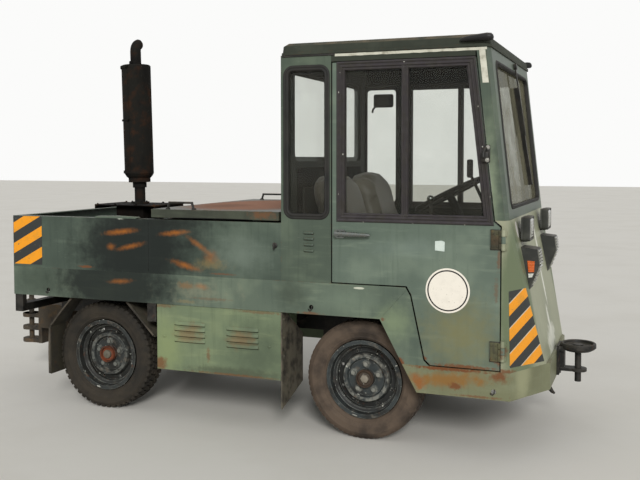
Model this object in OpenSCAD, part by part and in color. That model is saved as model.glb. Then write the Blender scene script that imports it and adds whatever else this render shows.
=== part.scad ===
// Baggage tug: a diesel tow tractor with a front cab, a rear engine deck and a vertical exhaust.
// Millimetres, +X forward, +Y to the left, +Z up, the ground at z = 0.
// Places along X are given from the front axle; from_axle() moves them to the middle of the length.

/* [Overall] */
// Width over the body sides
body_w = 1200; // [1160:10:1300]
// Distance between the axles
wheelbase = 1455; // [1400:5:1600]
// Rear panel behind the rear axle
rear_overhang = 515; // [460:5:640]
// Bumper face ahead of the front axle
front_overhang = 843; // [830:1:860]
// Thickness of the body sheets
skin = 4; // [3:0.5:6]
// Clearance between pieces that seat on each other
fit = 0.3; // [0.2:0.05:0.4]
// Gap round the doors
seam = 6; // [5:0.5:8]

/* [Side sills] */
// Lower edge of the side sill
sill_z0 = 599; // [596:1:615]
// Upper edge of the side sill
sill_z1 = 751; // [740:1:765]
// Width of the inward flanges of sill and deck panels
flange_w = 40; // [25:5:60]
// Radius of the lashing holes in sill and skirt
lash_r = 11; // [8:0.5:14]
// Front lashing hole behind the front axle
lash_front_x = 228; // [180:2:300]
// Rear lashing hole ahead of the rear panel
lash_rear_in = 226; // [120:2:300]
// Height of the lashing holes in the sill
lash_z = 633; // [628:1:660]

/* [Engine deck] */
// Rear wall of the cab behind the front axle
cab_rear = 382; // [370:2:410]
// Top of the deck side panels
deck_z = 1027; // [990:1:1040]
// Top of the engine lid
lid_z = 1079; // [1070:1:1110]
// Depth of the lid's edge flange
lid_flange = 42; // [25:1:46]
// Length of the engine lid
lid_len = 706; // [600:5:760]
// Floor of the open rear well
well_z = 760; // [756:2:830]
// Length of a lid handle
lid_handle_len = 150; // [100:5:220]
// Height of a lid handle
lid_handle_h = 36; // [25:1:50]
// Bar radius of a lid handle
lid_handle_r = 6; // [4:0.5:8]
// Size of the engine along, across and up
engine_size = [580, 460, 400];

/* [Cab] */
// Thickness of the cab walls
wall = 30; // [24:1:36]
// Lower edge of the roof cap
roof_z0 = 1819; // [1810:1:1850]
// Height of the roof cap
roof_h = 58; // [45:1:70]
// Overhang of the roof past the walls
roof_over = 6; // [3:1:12]
// Seam under the windscreen
belt_z = 1064; // [1058:1:1072]
// Windscreen panel ahead of the front axle at the belt seam
belt_x = 689; // [682:1:696]
// Rearward lean of the windscreen, as run over rise
screen_lean = 0.1167; // [0.09:0.005:0.13]
// Chamfer of the cab's front corners, across the cab
corner_in = 40; // [30:2:50]
// Chamfer of the cab's front corners, along the cab
corner_back = 14; // [8:1:20]
// Corner radius of the cab's windows
window_r = 45; // [30:5:55]

/* [Doors] */
// Rear edge of the door behind the front axle
door_back = 122; // [112:2:132]
// Front edge of the door ahead of the front axle
door_front = 656; // [650:1:660]
// Lower edge of the door over the wheel
door_z0 = 757; // [752:1:770]
// Lower edge of the door in front of the wheel
step_z = 407; // [398:1:418]
// Upper edge of the door
door_z1 = 1775; // [1765:1:1788]
// Thickness of a door
door_t = 34; // [28:1:38]
// Lower edge of the window frame
frame_z0 = 1048; // [1040:1:1052]
// Width of the window frame's members
frame_w = 33; // [26:1:38]
// Thickness of the window frame
frame_t = 24; // [18:1:28]
// Middle of the window divider ahead of the front axle
divider_x = 226; // [180:2:280]
// Thickness of the glass
glass_t = 5; // [4:0.5:6]
// Radius of a hinge pin
pin_r = 5; // [4:0.5:6]
// Radius of a hinge knuckle
knuckle_r = 9; // [8:0.5:11]
// Heights of the two hinges of a door
hinge_z = [496, 981];
// Length of the door handle
handle_len = 156; // [120:2:180]
// Height of the door handle above the ground
handle_z = 986; // [930:1:1005]

/* [Front] */
// Lower edge of skirt and bumper
skirt_z0 = 276; // [268:1:288]
// Foot of the leaning front panel ahead of the front axle
panel_foot_x = 828; // [812:1:834]
// Half width of the front panel at its foot
panel_foot_y = 363; // [330:3:400]
// Half width of the bumper face
bumper_y = 332; // [300:4:360]
// Corner post ahead of the front axle
post_x = 702; // [696:1:708]
// Middle of a headlamp out from the centre line
lamp_y = 348; // [320:2:380]

/* [Wheels] */
// Tyre diameter
tyre_d = 570; // [556:2:576]
// Tyre width
tyre_w = 150; // [135:1:156]
// Rim diameter over the flanges
rim_d = 374; // [364:1:380]
// Middle of a wheel out from the centre line
wheel_y = 440; // [430:1:445]
// Kingpin out from the centre line
kingpin_y = 315; // [305:1:322]
// Radius of the kingpin
kingpin_r = 16; // [12:1:18]
// Radius of the stub axles
stub_r = 22; // [18:1:26]
// Radius of the hub barrel
hub_r = 46; // [40:1:50]
// Radius of the stud circle
stud_circle = 66; // [60:1:72]
// Wheel studs
studs = 5; // [4:1:6]

/* [Exhaust] */
// Exhaust ahead of the rear panel
exhaust_in = 416; // [340:10:460]
// Radius of the silencer
silencer_r = 84; // [70:1:110]
// Lower and upper end of the silencer
silencer_z = [1247, 1881];
// Radius of the neck under the silencer
neck_r = 31; // [26:1:42]
// Radius of the outlet pipe
outlet_r = 31; // [24:1:36]
// Top of the outlet
outlet_z = 2036; // [1990:1:2080]
// Top of the exhaust tray
tray_z = 1069; // [1060:1:1090]

/* [Couplings] */
// Reach of the front coupling from the bumper
front_reach = 181; // [150:1:210]
// Radius of the coupling pins
coupling_pin_r = 16; // [12:1:18]
// Reach of the rear coupling from the rear panel
rear_reach = 438; // [400:2:470]
// Length of the beam that carries the rear coupling
beam_len = 270; // [240:5:290]
// Levels of the rear coupling's jaws
jaw_z = [195, 273, 351, 429];
// Thickness of a jaw plate
jaw_t = 22; // [16:1:26]

/* [Hidden] */
$fn = 48;

half_w = body_w / 2;
rear_x = -wheelbase - rear_overhang;
cab_x = -cab_rear;
// Half the difference of the reaches puts the middle of the length at x = 0.
axle_x = (rear_reach - rear_x - front_overhang - front_reach) / 2;
wheel_r = tyre_d / 2;
skirt_z1 = step_z - seam;
tiny = 0.01;

// The door's lower contour steps round the front wheel: over it, down its slant, then to the step.
knee = [[237, door_z0], [259, 719], [322, 431], [348, step_z]];
// The wheel arch is cut along this slant in fender and skirt.
arch = [[110, sill_z0], [216, skirt_z1], [285, skirt_z0]];
shoulder_x = 626;
function door_front_at(z) = shoulder_x - screen_lean * (z - belt_z);
function screen_at(z) = belt_x - screen_lean * (z - belt_z);
function panel_at(z) = panel_foot_x + (belt_x - panel_foot_x) * (z - skirt_z1) / (belt_z - skirt_z1);

olive = "#46584a";
pale_green = "#7f9370";
black = "#1b1c1b";
rubber = "#26241f";
rust = "#6b4a35";
steel = "#8b8d88";
glass_grey = "#9fb0ad";
vinyl = "#4a4c4b";

// Frames of reference and simple shapes

module from_axle() translate([axle_x, 0, 0]) children();
module on_left() mirror([0, 1, 0]) children();
module both_sides() {
    children();
    on_left() children();
}

// A side wall: its outline lies in XZ, its outer face is out past the body side.
module side_wall(t, out = 0) translate([0, t - half_w - out, 0]) rotate([90, 0, 0]) linear_extrude(t) children();

// A block between two corners.
module block(low, high) translate(low) cube(high - low);

// A rectangle with round corners, from its lower left corner.
module round_rect(w, h, r) {
    translate([r, 0]) square([w - 2 * r, h]);
    translate([0, r]) square([w, h - 2 * r]);
    for (x = [r, w - r], y = [r, h - r]) translate([x, y]) circle(r);
}

// A round bar between two points.
module bar(a, b, r) {
    d = b - a;
    translate(a) rotate([0, acos(d[2] / norm(d)), atan2(d[1], d[0])]) cylinder(h = norm(d), r = r);
}

// A cylinder along Y, its middle at the origin.
module across(len, r) rotate([90, 0, 0]) cylinder(h = len, r = r, center = true);

// Chassis and running gear

rail_y = [150, 200];
rail_z = [445, 545];
rail_front = 330;
rail_wall = 8;
nose_rail_x = [260, front_overhang - 5];
nose_rail_z = [330, skirt_z1 - skin - fit];
cross_x = [rear_x + 20, -1150, -300];
nose_cross_x = [350, nose_rail_x[1] - 60];
sill_arm_x = [rear_x + skin, -1130];
box_arm_x = [-760, -460];
arm_w = 50;

// A channel rail, open towards the centre line.
module channel(x, z) difference() {
    block([x[0], -rail_y[1], z[0]], [x[1], -rail_y[0], z[1]]);
    block([x[0] - 1, -rail_y[1] + rail_wall, z[0] + rail_wall], [x[1] + 1, -rail_y[0] + 1, z[1] - rail_wall]);
}

module cross_member(x, z) block([x, -rail_y[1] + rail_wall - tiny, z[0] + 14],
    [x + 60, rail_y[1] - rail_wall + tiny, z[1] - 14]);

module chassis_frame() color(black) from_axle() {
    for (x = cross_x) cross_member(x, rail_z);
    for (x = nose_cross_x) cross_member(x, nose_rail_z);
    both_sides() {
        channel([rear_x, rail_front], rail_z);
        channel(nose_rail_x, nose_rail_z);
        // A gusset drops from the main rail to the nose rail.
        block([nose_rail_x[0], -rail_y[1], nose_rail_z[1] - tiny], [rail_front, -rail_y[0], rail_z[0] + tiny]);
        // Arms carry the sills and the side boxes.
        for (x = sill_arm_x) {
            block([x, -half_w + skin, rail_z[1] - 40], [x + arm_w, -rail_y[1] + tiny, rail_z[1]]);
            block([x, -half_w + skin, rail_z[1] - 1], [x + arm_w, -half_w + skin + 30, sill_z0 - fit]);
        }
        for (x = box_arm_x) block([x, -side_box_in + fit, rail_z[1] - 40], [x + arm_w, -rail_y[1] + tiny, rail_z[1]]);
    }
}

spring_y = 175;
axle_tube_r = 38;
stub_end = wheel_y + 27;

// A stub axle from its outer end inside the hub to its root nearer the centre line.
module stub_axle(root) translate([0, -(stub_end + root) / 2, 0]) across(stub_end - root, stub_r);

// A leaf spring with three leaves; its hangers reach up to the rails.
spring_half = 330;
spring_eye = 305;
spring_w = 50;
leaf_t = 9;

module leaf_spring(x, z, hanger_z) translate([x, -spring_y, z]) {
    for (i = [0 : 2]) block([-spring_half + 90 * i, -spring_w / 2, leaf_t * i],
        [spring_half - 90 * i, spring_w / 2, leaf_t * (i + 1)]);
    for (i = [0, 1]) translate([(2 * i - 1) * spring_eye, 0, 0])
        block([-15, -spring_w / 2, leaf_t - 1], [15, spring_w / 2, hanger_z[i] - z]);
}

module rear_axle() color(black) from_axle() {
    translate([-wheelbase, 0, wheel_r]) {
        across(2 * (wheel_y - 70), axle_tube_r);
        both_sides() translate([0, -wheel_y + 67, 0]) across(16, 88);
        both_sides() stub_axle(wheel_y - 75);
        sphere(r = 118);
    }
    both_sides() leaf_spring(-wheelbase, wheel_r + axle_tube_r - 6, [rail_z[0], rail_z[0]]);
}

module front_axle() color(black) from_axle() difference() {
    union() {
        block([-32, -kingpin_y, wheel_r - 28], [32, kingpin_y, wheel_r + 28]);
        both_sides() translate([0, -kingpin_y, wheel_r - 36]) cylinder(h = 72, r = 34);
        both_sides() leaf_spring(0, wheel_r + 27, [rail_z[0], nose_rail_z[0]]);
    }
    both_sides() translate([0, -kingpin_y, 0]) cylinder(h = 900, r = kingpin_r + fit);
}

module knuckle() {
    translate([0, -kingpin_y, wheel_r - 62]) cylinder(h = 124, r = kingpin_r);
    for (z = [wheel_r - 62, wheel_r + 36.5]) translate([0, -kingpin_y, z]) cylinder(h = 25.5, r = 32);
    difference() {
        block([-32, -kingpin_y - 62, wheel_r - 62], [32, -kingpin_y, wheel_r + 62]);
        translate([0, -kingpin_y, wheel_r - 36.5]) cylinder(h = 73, r = 40);
        block([-40, -kingpin_y, wheel_r - 36.5], [40, 0, wheel_r + 36.5]);
    }
    translate([0, 0, wheel_r]) stub_axle(kingpin_y + 60);
    // The steering arm points to the rear.
    block([-120, -kingpin_y - 14, wheel_r - 62], [-20, -kingpin_y + 14, wheel_r - 44]);
}

module knuckle_right() color(black) from_axle() knuckle();
module knuckle_left() color(black) from_axle() on_left() knuckle();

// A wheel lies about its own middle, its axis along Z, its outer side up.
rim_half = 62;
seat_r = rim_d / 2 - 17.5;

module rim() difference() {
    union() {
        // Well-base rim section: flange, bead seat and well.
        rotate_extrude($fn = 96) polygon([[rim_d / 2, rim_half], [rim_d / 2, rim_half - 4],
            [seat_r + 3, rim_half - 8],
            [seat_r, rim_half - 32], [seat_r - 18, rim_half - 42], [seat_r - 18, -20], [seat_r, -32],
            [seat_r + 3, -rim_half + 8], [rim_d / 2, -rim_half + 4], [rim_d / 2, -rim_half], [seat_r - 1, -rim_half],
            [seat_r - 5, -32], [seat_r - 23, -18], [seat_r - 23, rim_half - 44], [seat_r - 5, rim_half - 34],
            [seat_r - 1, rim_half]]);
        // Dished disc with its pressed ring.
        rotate_extrude($fn = 96) polygon([[20, 14], [88, 14], [96, 30], [112, 30], [124, 4], [seat_r - 22, 0],
            [seat_r - 22, -6], [120, -3], [109, 24], [99, 24], [92, 8], [20, 8]]);
        // Hub barrel, drum and cap ring.
        rotate_extrude($fn = 96) polygon([[0, -56], [hub_r, -56], [hub_r, 8.5], [44, 13], [44, 34],
            [40, 38], [24, 38],
            [20, 44], [0, 44]]);
        for (i = [0 : studs - 1]) rotate(360 / studs * i + 90) translate([stud_circle, 0, 13]) {
            cylinder(h = 6, r = 17);
            cylinder(h = 19, r = 11.5, $fn = 6);
        }
    }
    // Bore for the stub axle, and slots round the disc.
    translate([0, 0, -57]) cylinder(h = 57 + 30, r = stub_r + fit);
    for (i = [0 : 7]) rotate(45 * i + 22.5) translate([134, 0, -10]) cylinder(h = 20, r = 7);
}

module tyre() rotate_extrude($fn = 96) {
    difference() {
        union() {
            translate([seat_r, -tyre_w / 2 + 28]) square([wheel_r - seat_r, tyre_w - 56]);
            translate([seat_r + 38, -tyre_w / 2]) square([wheel_r - seat_r - 66, tyre_w]);
            for (s = [-1, 1]) translate([wheel_r - 28, s * (tyre_w / 2 - 28)]) circle(28);
            for (s = [-1, 1]) translate([seat_r + 38, s * (tyre_w / 2 - 28)]) circle(28);
        }
        // The bead lies between the rim's flanges, on its coned seats.
        for (s = [0, 1]) mirror([0, s]) translate([0, rim_half - 8 - fit]) square([rim_d / 2 + fit, tyre_w]);
        translate([0, -rim_half]) square([seat_r + 3 + fit, 2 * rim_half]);
    }
}

module rear_wheel_place() translate([-wheelbase, -wheel_y, wheel_r]) rotate([90, 0, 0]) children();
module front_wheel_place() translate([0, -wheel_y, wheel_r]) rotate([90, 0, 0]) children();
module rim_front_right() color("#5f6361") from_axle() front_wheel_place() rim();
module rim_front_left() color("#5f6361") from_axle() on_left() front_wheel_place() rim();
module rim_rear_right() color("#5f6361") from_axle() rear_wheel_place() rim();
module rim_rear_left() color("#5f6361") from_axle() on_left() rear_wheel_place() rim();
module tyre_front_right() color(rubber) from_axle() front_wheel_place() tyre();
module tyre_front_left() color(rubber) from_axle() on_left() front_wheel_place() tyre();
module tyre_rear_right() color(rubber) from_axle() rear_wheel_place() tyre();
module tyre_rear_left() color(rubber) from_axle() on_left() rear_wheel_place() tyre();

// Side sills, deck and engine

module sill() difference() {
    union() {
        side_wall(skin) polygon(concat([[rear_x, sill_z0], [rear_x, sill_z1]],
            [for (p = knee) p - [seam, seam]], [arch[1], arch[0]]));
        // Inward flanges along the sill's lower and upper edges.
        for (z = [sill_z0, sill_z1 - skin]) block([rear_x + skin, -half_w + skin - tiny, z],
            [arch[0][0] - 14, -half_w + flange_w, z + skin]);
    }
    for (x = [-lash_front_x, rear_x + lash_rear_in]) translate([x, -half_w, lash_z]) across(60, lash_r);
    // A pressed crease runs from the arch to the door.
    translate([178, -half_w, 674]) rotate([0, -48, 0]) cube([165, 2, 3], center = true);
}

module sill_right() color(olive) from_axle() sill();
module sill_left() color(olive) from_axle() on_left() sill();

deck_seam_x = -1120;

module deck_side() {
    difference() {
        side_wall(skin) polygon([[rear_x, sill_z1], [rear_x, deck_z], [cab_x, deck_z], [cab_x, sill_z1]]);
        // The seam between the well side and the engine side.
        translate([deck_seam_x, -half_w - 1, sill_z1 + 13]) cube([3, 2.5, deck_z - sill_z1]);
    }
    block([rear_x + skin, -half_w + skin - tiny, deck_z - skin], [cab_x, -half_w + flange_w, deck_z]);
    block([rear_x + skin, -half_w + skin - tiny, sill_z1], [cab_x, -half_w + flange_w, sill_z1 + skin]);
}

module deck_side_right() color(olive) from_axle() deck_side();
module deck_side_left() color(olive) from_axle() on_left() deck_side();

module rear_panel() color(olive) from_axle() {
    block([rear_x, -half_w + skin, sill_z0], [rear_x + skin, half_w - skin, deck_z]);
    block([rear_x + skin - tiny, -half_w + flange_w, deck_z - skin], [rear_x + flange_w, half_w - flange_w, deck_z]);
    block([rear_x + skin - tiny, -half_w + flange_w, sill_z0],
        [rear_x + flange_w, half_w - flange_w, sill_z0 + skin]);
}

lid_gap = 14;
lid_x1 = cab_x - lid_gap;
lid_x0 = lid_x1 - lid_len;
bulkhead_x = lid_x0 + 6;
stop_r = 12;

module well_floor() color(olive) from_axle() {
    block([rear_x + skin, -half_w + flange_w, well_z - skin], [bulkhead_x, half_w - flange_w, well_z]);
    block([bulkhead_x - tiny, -half_w + flange_w, sill_z1], [bulkhead_x + skin, half_w - flange_w, deck_z - skin]);
    block([bulkhead_x, -half_w + flange_w, deck_z - 2 * skin], [bulkhead_x + 40, half_w - flange_w, deck_z - skin]);
    // Rubber stops carry the closed lid.
    both_sides() translate([bulkhead_x + 22, -420, deck_z - skin - tiny])
        cylinder(h = lid_z - skin - fit - deck_z + skin, r = stop_r);
}

module engine_block() color(steel) from_axle() {
    x1 = cab_x - 60;
    block([x1 - engine_size[0], -engine_size[1] / 2, rail_z[1]],
        [x1, engine_size[1] / 2, rail_z[1] + engine_size[2]]);
}

lid_hinge = [cab_x - 11, lid_z + 8];
lid_hinge_y = [-360, 360];
lid_knuckle_l = 60;

module engine_lid() color(olive) from_axle() difference() {
    union() {
        difference() {
            block([lid_x0, -half_w + 3, lid_z - lid_flange], [lid_x1, half_w - 3, lid_z]);
            block([lid_x0 + skin, -half_w + 3 + skin, lid_z - lid_flange - 1],
                [lid_x1 - skin, half_w - 3 - skin, lid_z - skin]);
        }
        for (y = [-220, 180]) block([lid_x0 + skin - tiny, y, lid_z - 26],
            [lid_x1 - skin + tiny, y + 40, lid_z - skin + tiny]);
        for (y = lid_hinge_y) translate([lid_hinge[0], y, lid_hinge[1]]) across(lid_knuckle_l, knuckle_r);
        for (y = lid_hinge_y) block([lid_x1 - 10, y - lid_knuckle_l / 2, lid_z - skin],
            [lid_hinge[0], y + lid_knuckle_l / 2, lid_z]);
    }
    for (y = lid_hinge_y) translate([lid_hinge[0], y, lid_hinge[1]]) across(lid_knuckle_l + 2, pin_r + fit);
}

lid_handle_x = lid_x0 + 75;

module lid_handles() color(black) from_axle() both_sides() {
    y = -half_w + 40;
    top = lid_z + lid_handle_h;
    foot_t = 5;
    a = [lid_handle_x, y, lid_z + fit];
    b = [lid_handle_x + lid_handle_len, y, lid_z + fit];
    c = [a[0] + 12, y, top];
    d = [b[0] - 12, y, top];
    // The bars start within their feet, so their slant stays clear of the lid.
    bar(a + [1, 0, foot_t - 2], c, lid_handle_r);
    bar(b + [-1, 0, foot_t - 2], d, lid_handle_r);
    bar(c - [6, 0, 3], d + [6, 0, -3], lid_handle_r - 0.5);
    for (p = [a, b]) translate(p) cylinder(h = foot_t, r = 2 * lid_handle_r);
}

// Cab

floor_t = 5;
seat_box_z = 729;
box_top = [278, seat_box_z];
box_foot = [378, skirt_z1 + 18];

module cab_floor() color(olive) from_axle() {
    inner = half_w - door_t - seam;
    rotate([90, 0, 0]) linear_extrude(2 * inner, center = true) polygon([[cab_x + wall, seat_box_z], box_top,
        box_foot, [post_x - 20, box_foot[1]], [post_x - 20, box_foot[1] - floor_t],
        [box_foot[0] - 4, box_foot[1] - floor_t],
        [box_top[0] - 4, seat_box_z - floor_t], [cab_x + wall, seat_box_z - floor_t]]);
    // The floor follows the chamfered nose.
    translate([0, 0, box_foot[1] - floor_t]) linear_extrude(floor_t) polygon([[post_x - 21, -inner],
        [post_x - 20, -inner],
        [panel_foot_x - 14, -panel_foot_y + 6], [panel_foot_x - 14, panel_foot_y - 6],
        [post_x - 20, inner], [post_x - 21, inner]]);
    // Brackets carry floor and seat box on the frame.
    both_sides() for (x = [cab_x + wall, 88]) block([x, -rail_y[1], rail_z[1]],
        [x + 40, -rail_y[0], seat_box_z - floor_t + tiny]);
    // Inner sills carry the floor on the skirt.
    both_sides() block([box_foot[0], -inner, skirt_z1 + fit], [post_x - 20, -inner + skin, box_foot[1] - 1]);
}

module window_cut(x0, x1, z0, z1) side_wall(4 * wall, wall) translate([x0, z0])
    round_rect(x1 - x0, z1 - z0, window_r);

rear_window = [500, 1319, 1765];

// The wall's upper half holds the window
rear_wall_seam = 1240;

module rear_window_panel() color(olive) from_axle() difference() {
    block([cab_x, -half_w + wall, rear_wall_seam], [cab_x + wall, half_w - wall, roof_z0]);
    translate([cab_x - 1, -rear_window[0], rear_window[1]]) rotate([90, 0, 90]) linear_extrude(wall + 2)
        round_rect(2 * rear_window[0], rear_window[2] - rear_window[1], window_r);
}

module cab_rear_wall() color(olive) from_axle() {
    block([cab_x, -half_w + wall, sill_z1], [cab_x + wall, half_w - wall, rear_wall_seam]);
    // Lugs and pins of the lid's hinges.
    for (y = lid_hinge_y) {
        for (s = [-1, 1]) {
            translate([lid_hinge[0], y + s * (lid_knuckle_l / 2 + 5), lid_hinge[1]]) across(8, pin_r + 2);
            translate([lid_hinge[0], y + s * (lid_knuckle_l / 2 + 5) - 4, lid_hinge[1] - pin_r - 2])
                cube([cab_x - lid_hinge[0] + 1, 8, 2 * pin_r + 4]);
        }
        translate([lid_hinge[0], y, lid_hinge[1]]) across(lid_knuckle_l + 16, pin_r);
    }
}

quarter = [cab_x + 16, -door_back - seam - 11, 1051, 1766];
quarter_louvre = [50, 8];
quarter_louvre_at = [-265, 893];
quarter_louvre_pitch = 28;

module quarter_panel() difference() {
    union() {
        side_wall(wall) polygon([[cab_x, sill_z1], [cab_x, roof_z0], [-door_back - seam, roof_z0],
            [-door_back - seam, sill_z1]]);
    }
    window_cut(quarter[0], quarter[1], quarter[2], quarter[3]);
    for (i = [0 : 3]) side_wall(4 * wall, wall) translate(quarter_louvre_at + [0, quarter_louvre_pitch * i])
        round_rect(quarter_louvre[0], quarter_louvre[1], 3.5);
}

module quarter_panel_right() color(olive) from_axle() quarter_panel();
module quarter_panel_left() color(olive) from_axle() on_left() quarter_panel();

// The space that a door and its seam take, with everything behind it.
module door_space() rotate([90, 0, 0]) linear_extrude(2 * body_w, center = true) polygon([[-900, 0],
    [door_front + seam, 0], [door_front + seam, belt_z - 24], [shoulder_x + seam, belt_z],
    [door_front_at(1930) + seam, 1930], [-900, 1930]]);

// The cab's nose at one height, with its corner chamfer running from the post to the front face.
module nose_slice(z, front, front_y, post, inset) translate([0, 0, z]) linear_extrude(tiny) polygon([
    [500, -half_w + inset], [post - inset * 0.4, -half_w + inset], [front - inset, -front_y + inset * 0.6],
    [front - inset, front_y - inset * 0.6], [post - inset * 0.4, half_w - inset], [500, half_w - inset]]);

module upper_nose(inset, z0, z1) hull() {
    nose_slice(z0, screen_at(z0), half_w - corner_in, screen_at(z0) - corner_back, inset);
    nose_slice(z1 - tiny, screen_at(z1), half_w - corner_in, screen_at(z1) - corner_back, inset);
}

module lower_nose(inset, z0, z1) hull() {
    nose_slice(z0, panel_at(z0), panel_foot_y, post_x, inset);
    nose_slice(z1 - tiny, panel_at(z1), half_w - corner_in, belt_x - corner_back, inset);
}

screen_y = 490;
screen_z = [1110, 1770];
screen_len = norm([screen_lean * (screen_z[1] - screen_z[0]), screen_z[1] - screen_z[0]]);
module screen_place() translate([screen_at(screen_z[0]), 0, screen_z[0]]) rotate([0, -atan(screen_lean), 0])
    rotate([90, 0, 90]) children();

module windscreen_frame() color(olive) from_axle() difference() {
    upper_nose(0, belt_z, roof_z0);
    upper_nose(wall, belt_z - 5, roof_z0 + 5);
    door_space();
    screen_place() translate([-screen_y, 0, -2 * wall]) linear_extrude(3 * wall)
        round_rect(2 * screen_y, screen_len, window_r);
}

hinge_at = [door_front + 15, -half_w - knuckle_r - 1];
hinge_l = 30;

module front_panel() color(olive) from_axle() {
    difference() {
        lower_nose(0, skirt_z1, belt_z);
        lower_nose(skin, skirt_z1 - 5, belt_z + 5);
        door_space();
    }
    // Door hinge straps, outer knuckles and pins.
    both_sides() for (z = hinge_z) {
        translate([hinge_at[0], hinge_at[1], z - hinge_l / 2 - 30]) cylinder(h = hinge_l + 60, r = pin_r);
        for (z1 = [z - hinge_l / 2 - 30, z + hinge_l / 2 + 1]) {
            translate([hinge_at[0], hinge_at[1], z1]) cylinder(h = 29, r = knuckle_r);
            block([hinge_at[0], -half_w - 5, z1], [hinge_at[0] + 15, -half_w + 1, z1 + 29]);
        }
    }
}

module skirt_plan(inset) polygon([[-50, -half_w + inset], [post_x - inset * 0.25, -half_w + inset],
    [front_overhang - inset, -bumper_y + inset * 0.6], [front_overhang - inset, bumper_y - inset * 0.6],
    [post_x - inset * 0.25, half_w - inset], [-50, half_w - inset]]);

module front_skirt() color(olive) from_axle() difference() {
    union() {
        translate([0, 0, skirt_z0]) linear_extrude(skirt_z1 - skirt_z0) difference() {
            skirt_plan(0);
            skirt_plan(5);
        }
        translate([0, 0, skirt_z1 - skin]) linear_extrude(skin) difference() {
            skirt_plan(tiny);
            skirt_plan(flange_w + 10);
        }
    }
    rotate([90, 0, 0]) linear_extrude(2 * body_w, center = true) polygon([[-60, 0], [arch[2][0], 0], arch[2], arch[1],
        [arch[1][0], 900], [-60, 900]]);
    both_sides() translate([632, -half_w, skirt_z0 + 36]) across(60, lash_r);
}

roof_wall = 18;
module roof_plan(grow) translate([cab_x - roof_over - grow, -half_w - roof_over - grow])
    round_rect(screen_at(roof_z0) - cab_x + 2 * roof_over + 2 * grow, body_w + 2 * roof_over + 2 * grow, 40 + grow);

module roof() color(olive) from_axle() {
    difference() {
        union() {
            translate([0, 0, roof_z0]) linear_extrude(12) roof_plan(0);
            hull() {
                translate([0, 0, roof_z0 + 11]) linear_extrude(1) roof_plan(-5);
                translate([0, 0, roof_z0 + roof_h - 16]) linear_extrude(1) roof_plan(-9);
                translate([0, 0, roof_z0 + roof_h - 1]) linear_extrude(1) roof_plan(-34);
            }
        }
        translate([0, 0, roof_z0 - 1]) linear_extrude(roof_h - roof_wall + 1) roof_plan(-wall - roof_over);
    }
    // Cant rails over the doors.
    both_sides() difference() {
        side_wall(wall) polygon([[-door_back - seam, door_z1 + seam], [-door_back - seam, roof_z0 + 1],
            [screen_at(roof_z0) - 60, roof_z0 + 1], [screen_at(roof_z0) - 60, door_z1 + seam]]);
    }
}

// Glazing

module windscreen() color(glass_grey) from_axle() screen_place()
    translate([-screen_y + fit, fit, -wall / 2 - glass_t])
    linear_extrude(glass_t) round_rect(2 * (screen_y - fit), screen_len - 2 * fit, window_r - fit);

module rear_glass() color(glass_grey) from_axle()
    translate([cab_x + wall / 2, -rear_window[0] + fit, rear_window[1] + fit]) rotate([90, 0, 90])
        linear_extrude(glass_t)
        round_rect(2 * (rear_window[0] - fit), rear_window[2] - rear_window[1] - 2 * fit, window_r - fit);

module quarter_glass() color(glass_grey) from_axle() both_sides() side_wall(glass_t, -wall / 2)
    translate([quarter[0] + fit, quarter[2] + fit])
        round_rect(quarter[1] - quarter[0] - 2 * fit, quarter[3] - quarter[2] - 2 * fit, window_r - fit);

// Doors

function frame_outline(in) = [[-door_back + 28 + in, frame_z0 + in],
    [door_front_at(frame_z0) - in - 8, frame_z0 + in],
    [door_front_at(door_z1) - in - 8, door_z1 - 4 - in], [-door_back + 28 + in, door_z1 - 4 - in]];

module door_outline() polygon(concat([[-door_back, door_z0]], knee, [[door_front, step_z], [door_front, belt_z - 30],
    [shoulder_x, belt_z - 6], [door_front_at(door_z1), door_z1], [-door_back, door_z1]]));

module door() difference() {
    union() {
        side_wall(door_t) difference() {
            door_outline();
            polygon(frame_outline(0));
        }
        for (z = hinge_z) {
            translate([hinge_at[0], hinge_at[1], z - hinge_l / 2]) cylinder(h = hinge_l, r = knuckle_r);
            block([door_front - 45, -half_w - 4, z - hinge_l / 2 - 24],
                [door_front - 1, -half_w + 1, z + hinge_l / 2 + 24]);
            block([door_front - 2, -half_w - 5, z - hinge_l / 2], [hinge_at[0], -half_w - 1, z + hinge_l / 2]);
        }
        // Handle plate, lever and its round end.
        block([-110, -half_w - 5, handle_z - 12], [-60, -half_w + 1, handle_z + 12]);
        translate([-92, -half_w - 14, handle_z]) across(30, 10);
        translate([-92, -half_w - 30, handle_z - 7]) cube([handle_len - 18, 10, 14]);
        translate([-92 + handle_len - 18, -half_w - 25, handle_z]) across(10, 7);
    }
    for (z = hinge_z) translate([hinge_at[0], hinge_at[1], z - hinge_l / 2 - 1])
        cylinder(h = hinge_l + 2, r = pin_r + fit);
}

module door_right() color(olive) from_axle() door();
module door_left() color(olive) from_axle() on_left() door();

module window_frame() side_wall(frame_t, -3) difference() {
    polygon(frame_outline(fit));
    difference() {
        polygon(frame_outline(frame_w));
        translate([divider_x - 14, 0]) square([28, 2000]);
    }
}

module window_frame_right() color(black) from_axle() window_frame();
module window_frame_left() color(black) from_axle() on_left() window_frame();

module door_glass() side_wall(glass_t, -3 - frame_t / 2) difference() {
    polygon(frame_outline(frame_w + fit));
    translate([divider_x - 14 - fit, 0]) square([28 + 2 * fit, 2000]);
}

module door_glass_right() color(glass_grey) from_axle() door_glass();
module door_glass_left() color(glass_grey) from_axle() on_left() door_glass();

// Inside the cab

dash_y = half_w - wall - 30;
dash_x = [568, 650];
dash_z = [879, 960, 1014, 1041];

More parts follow.
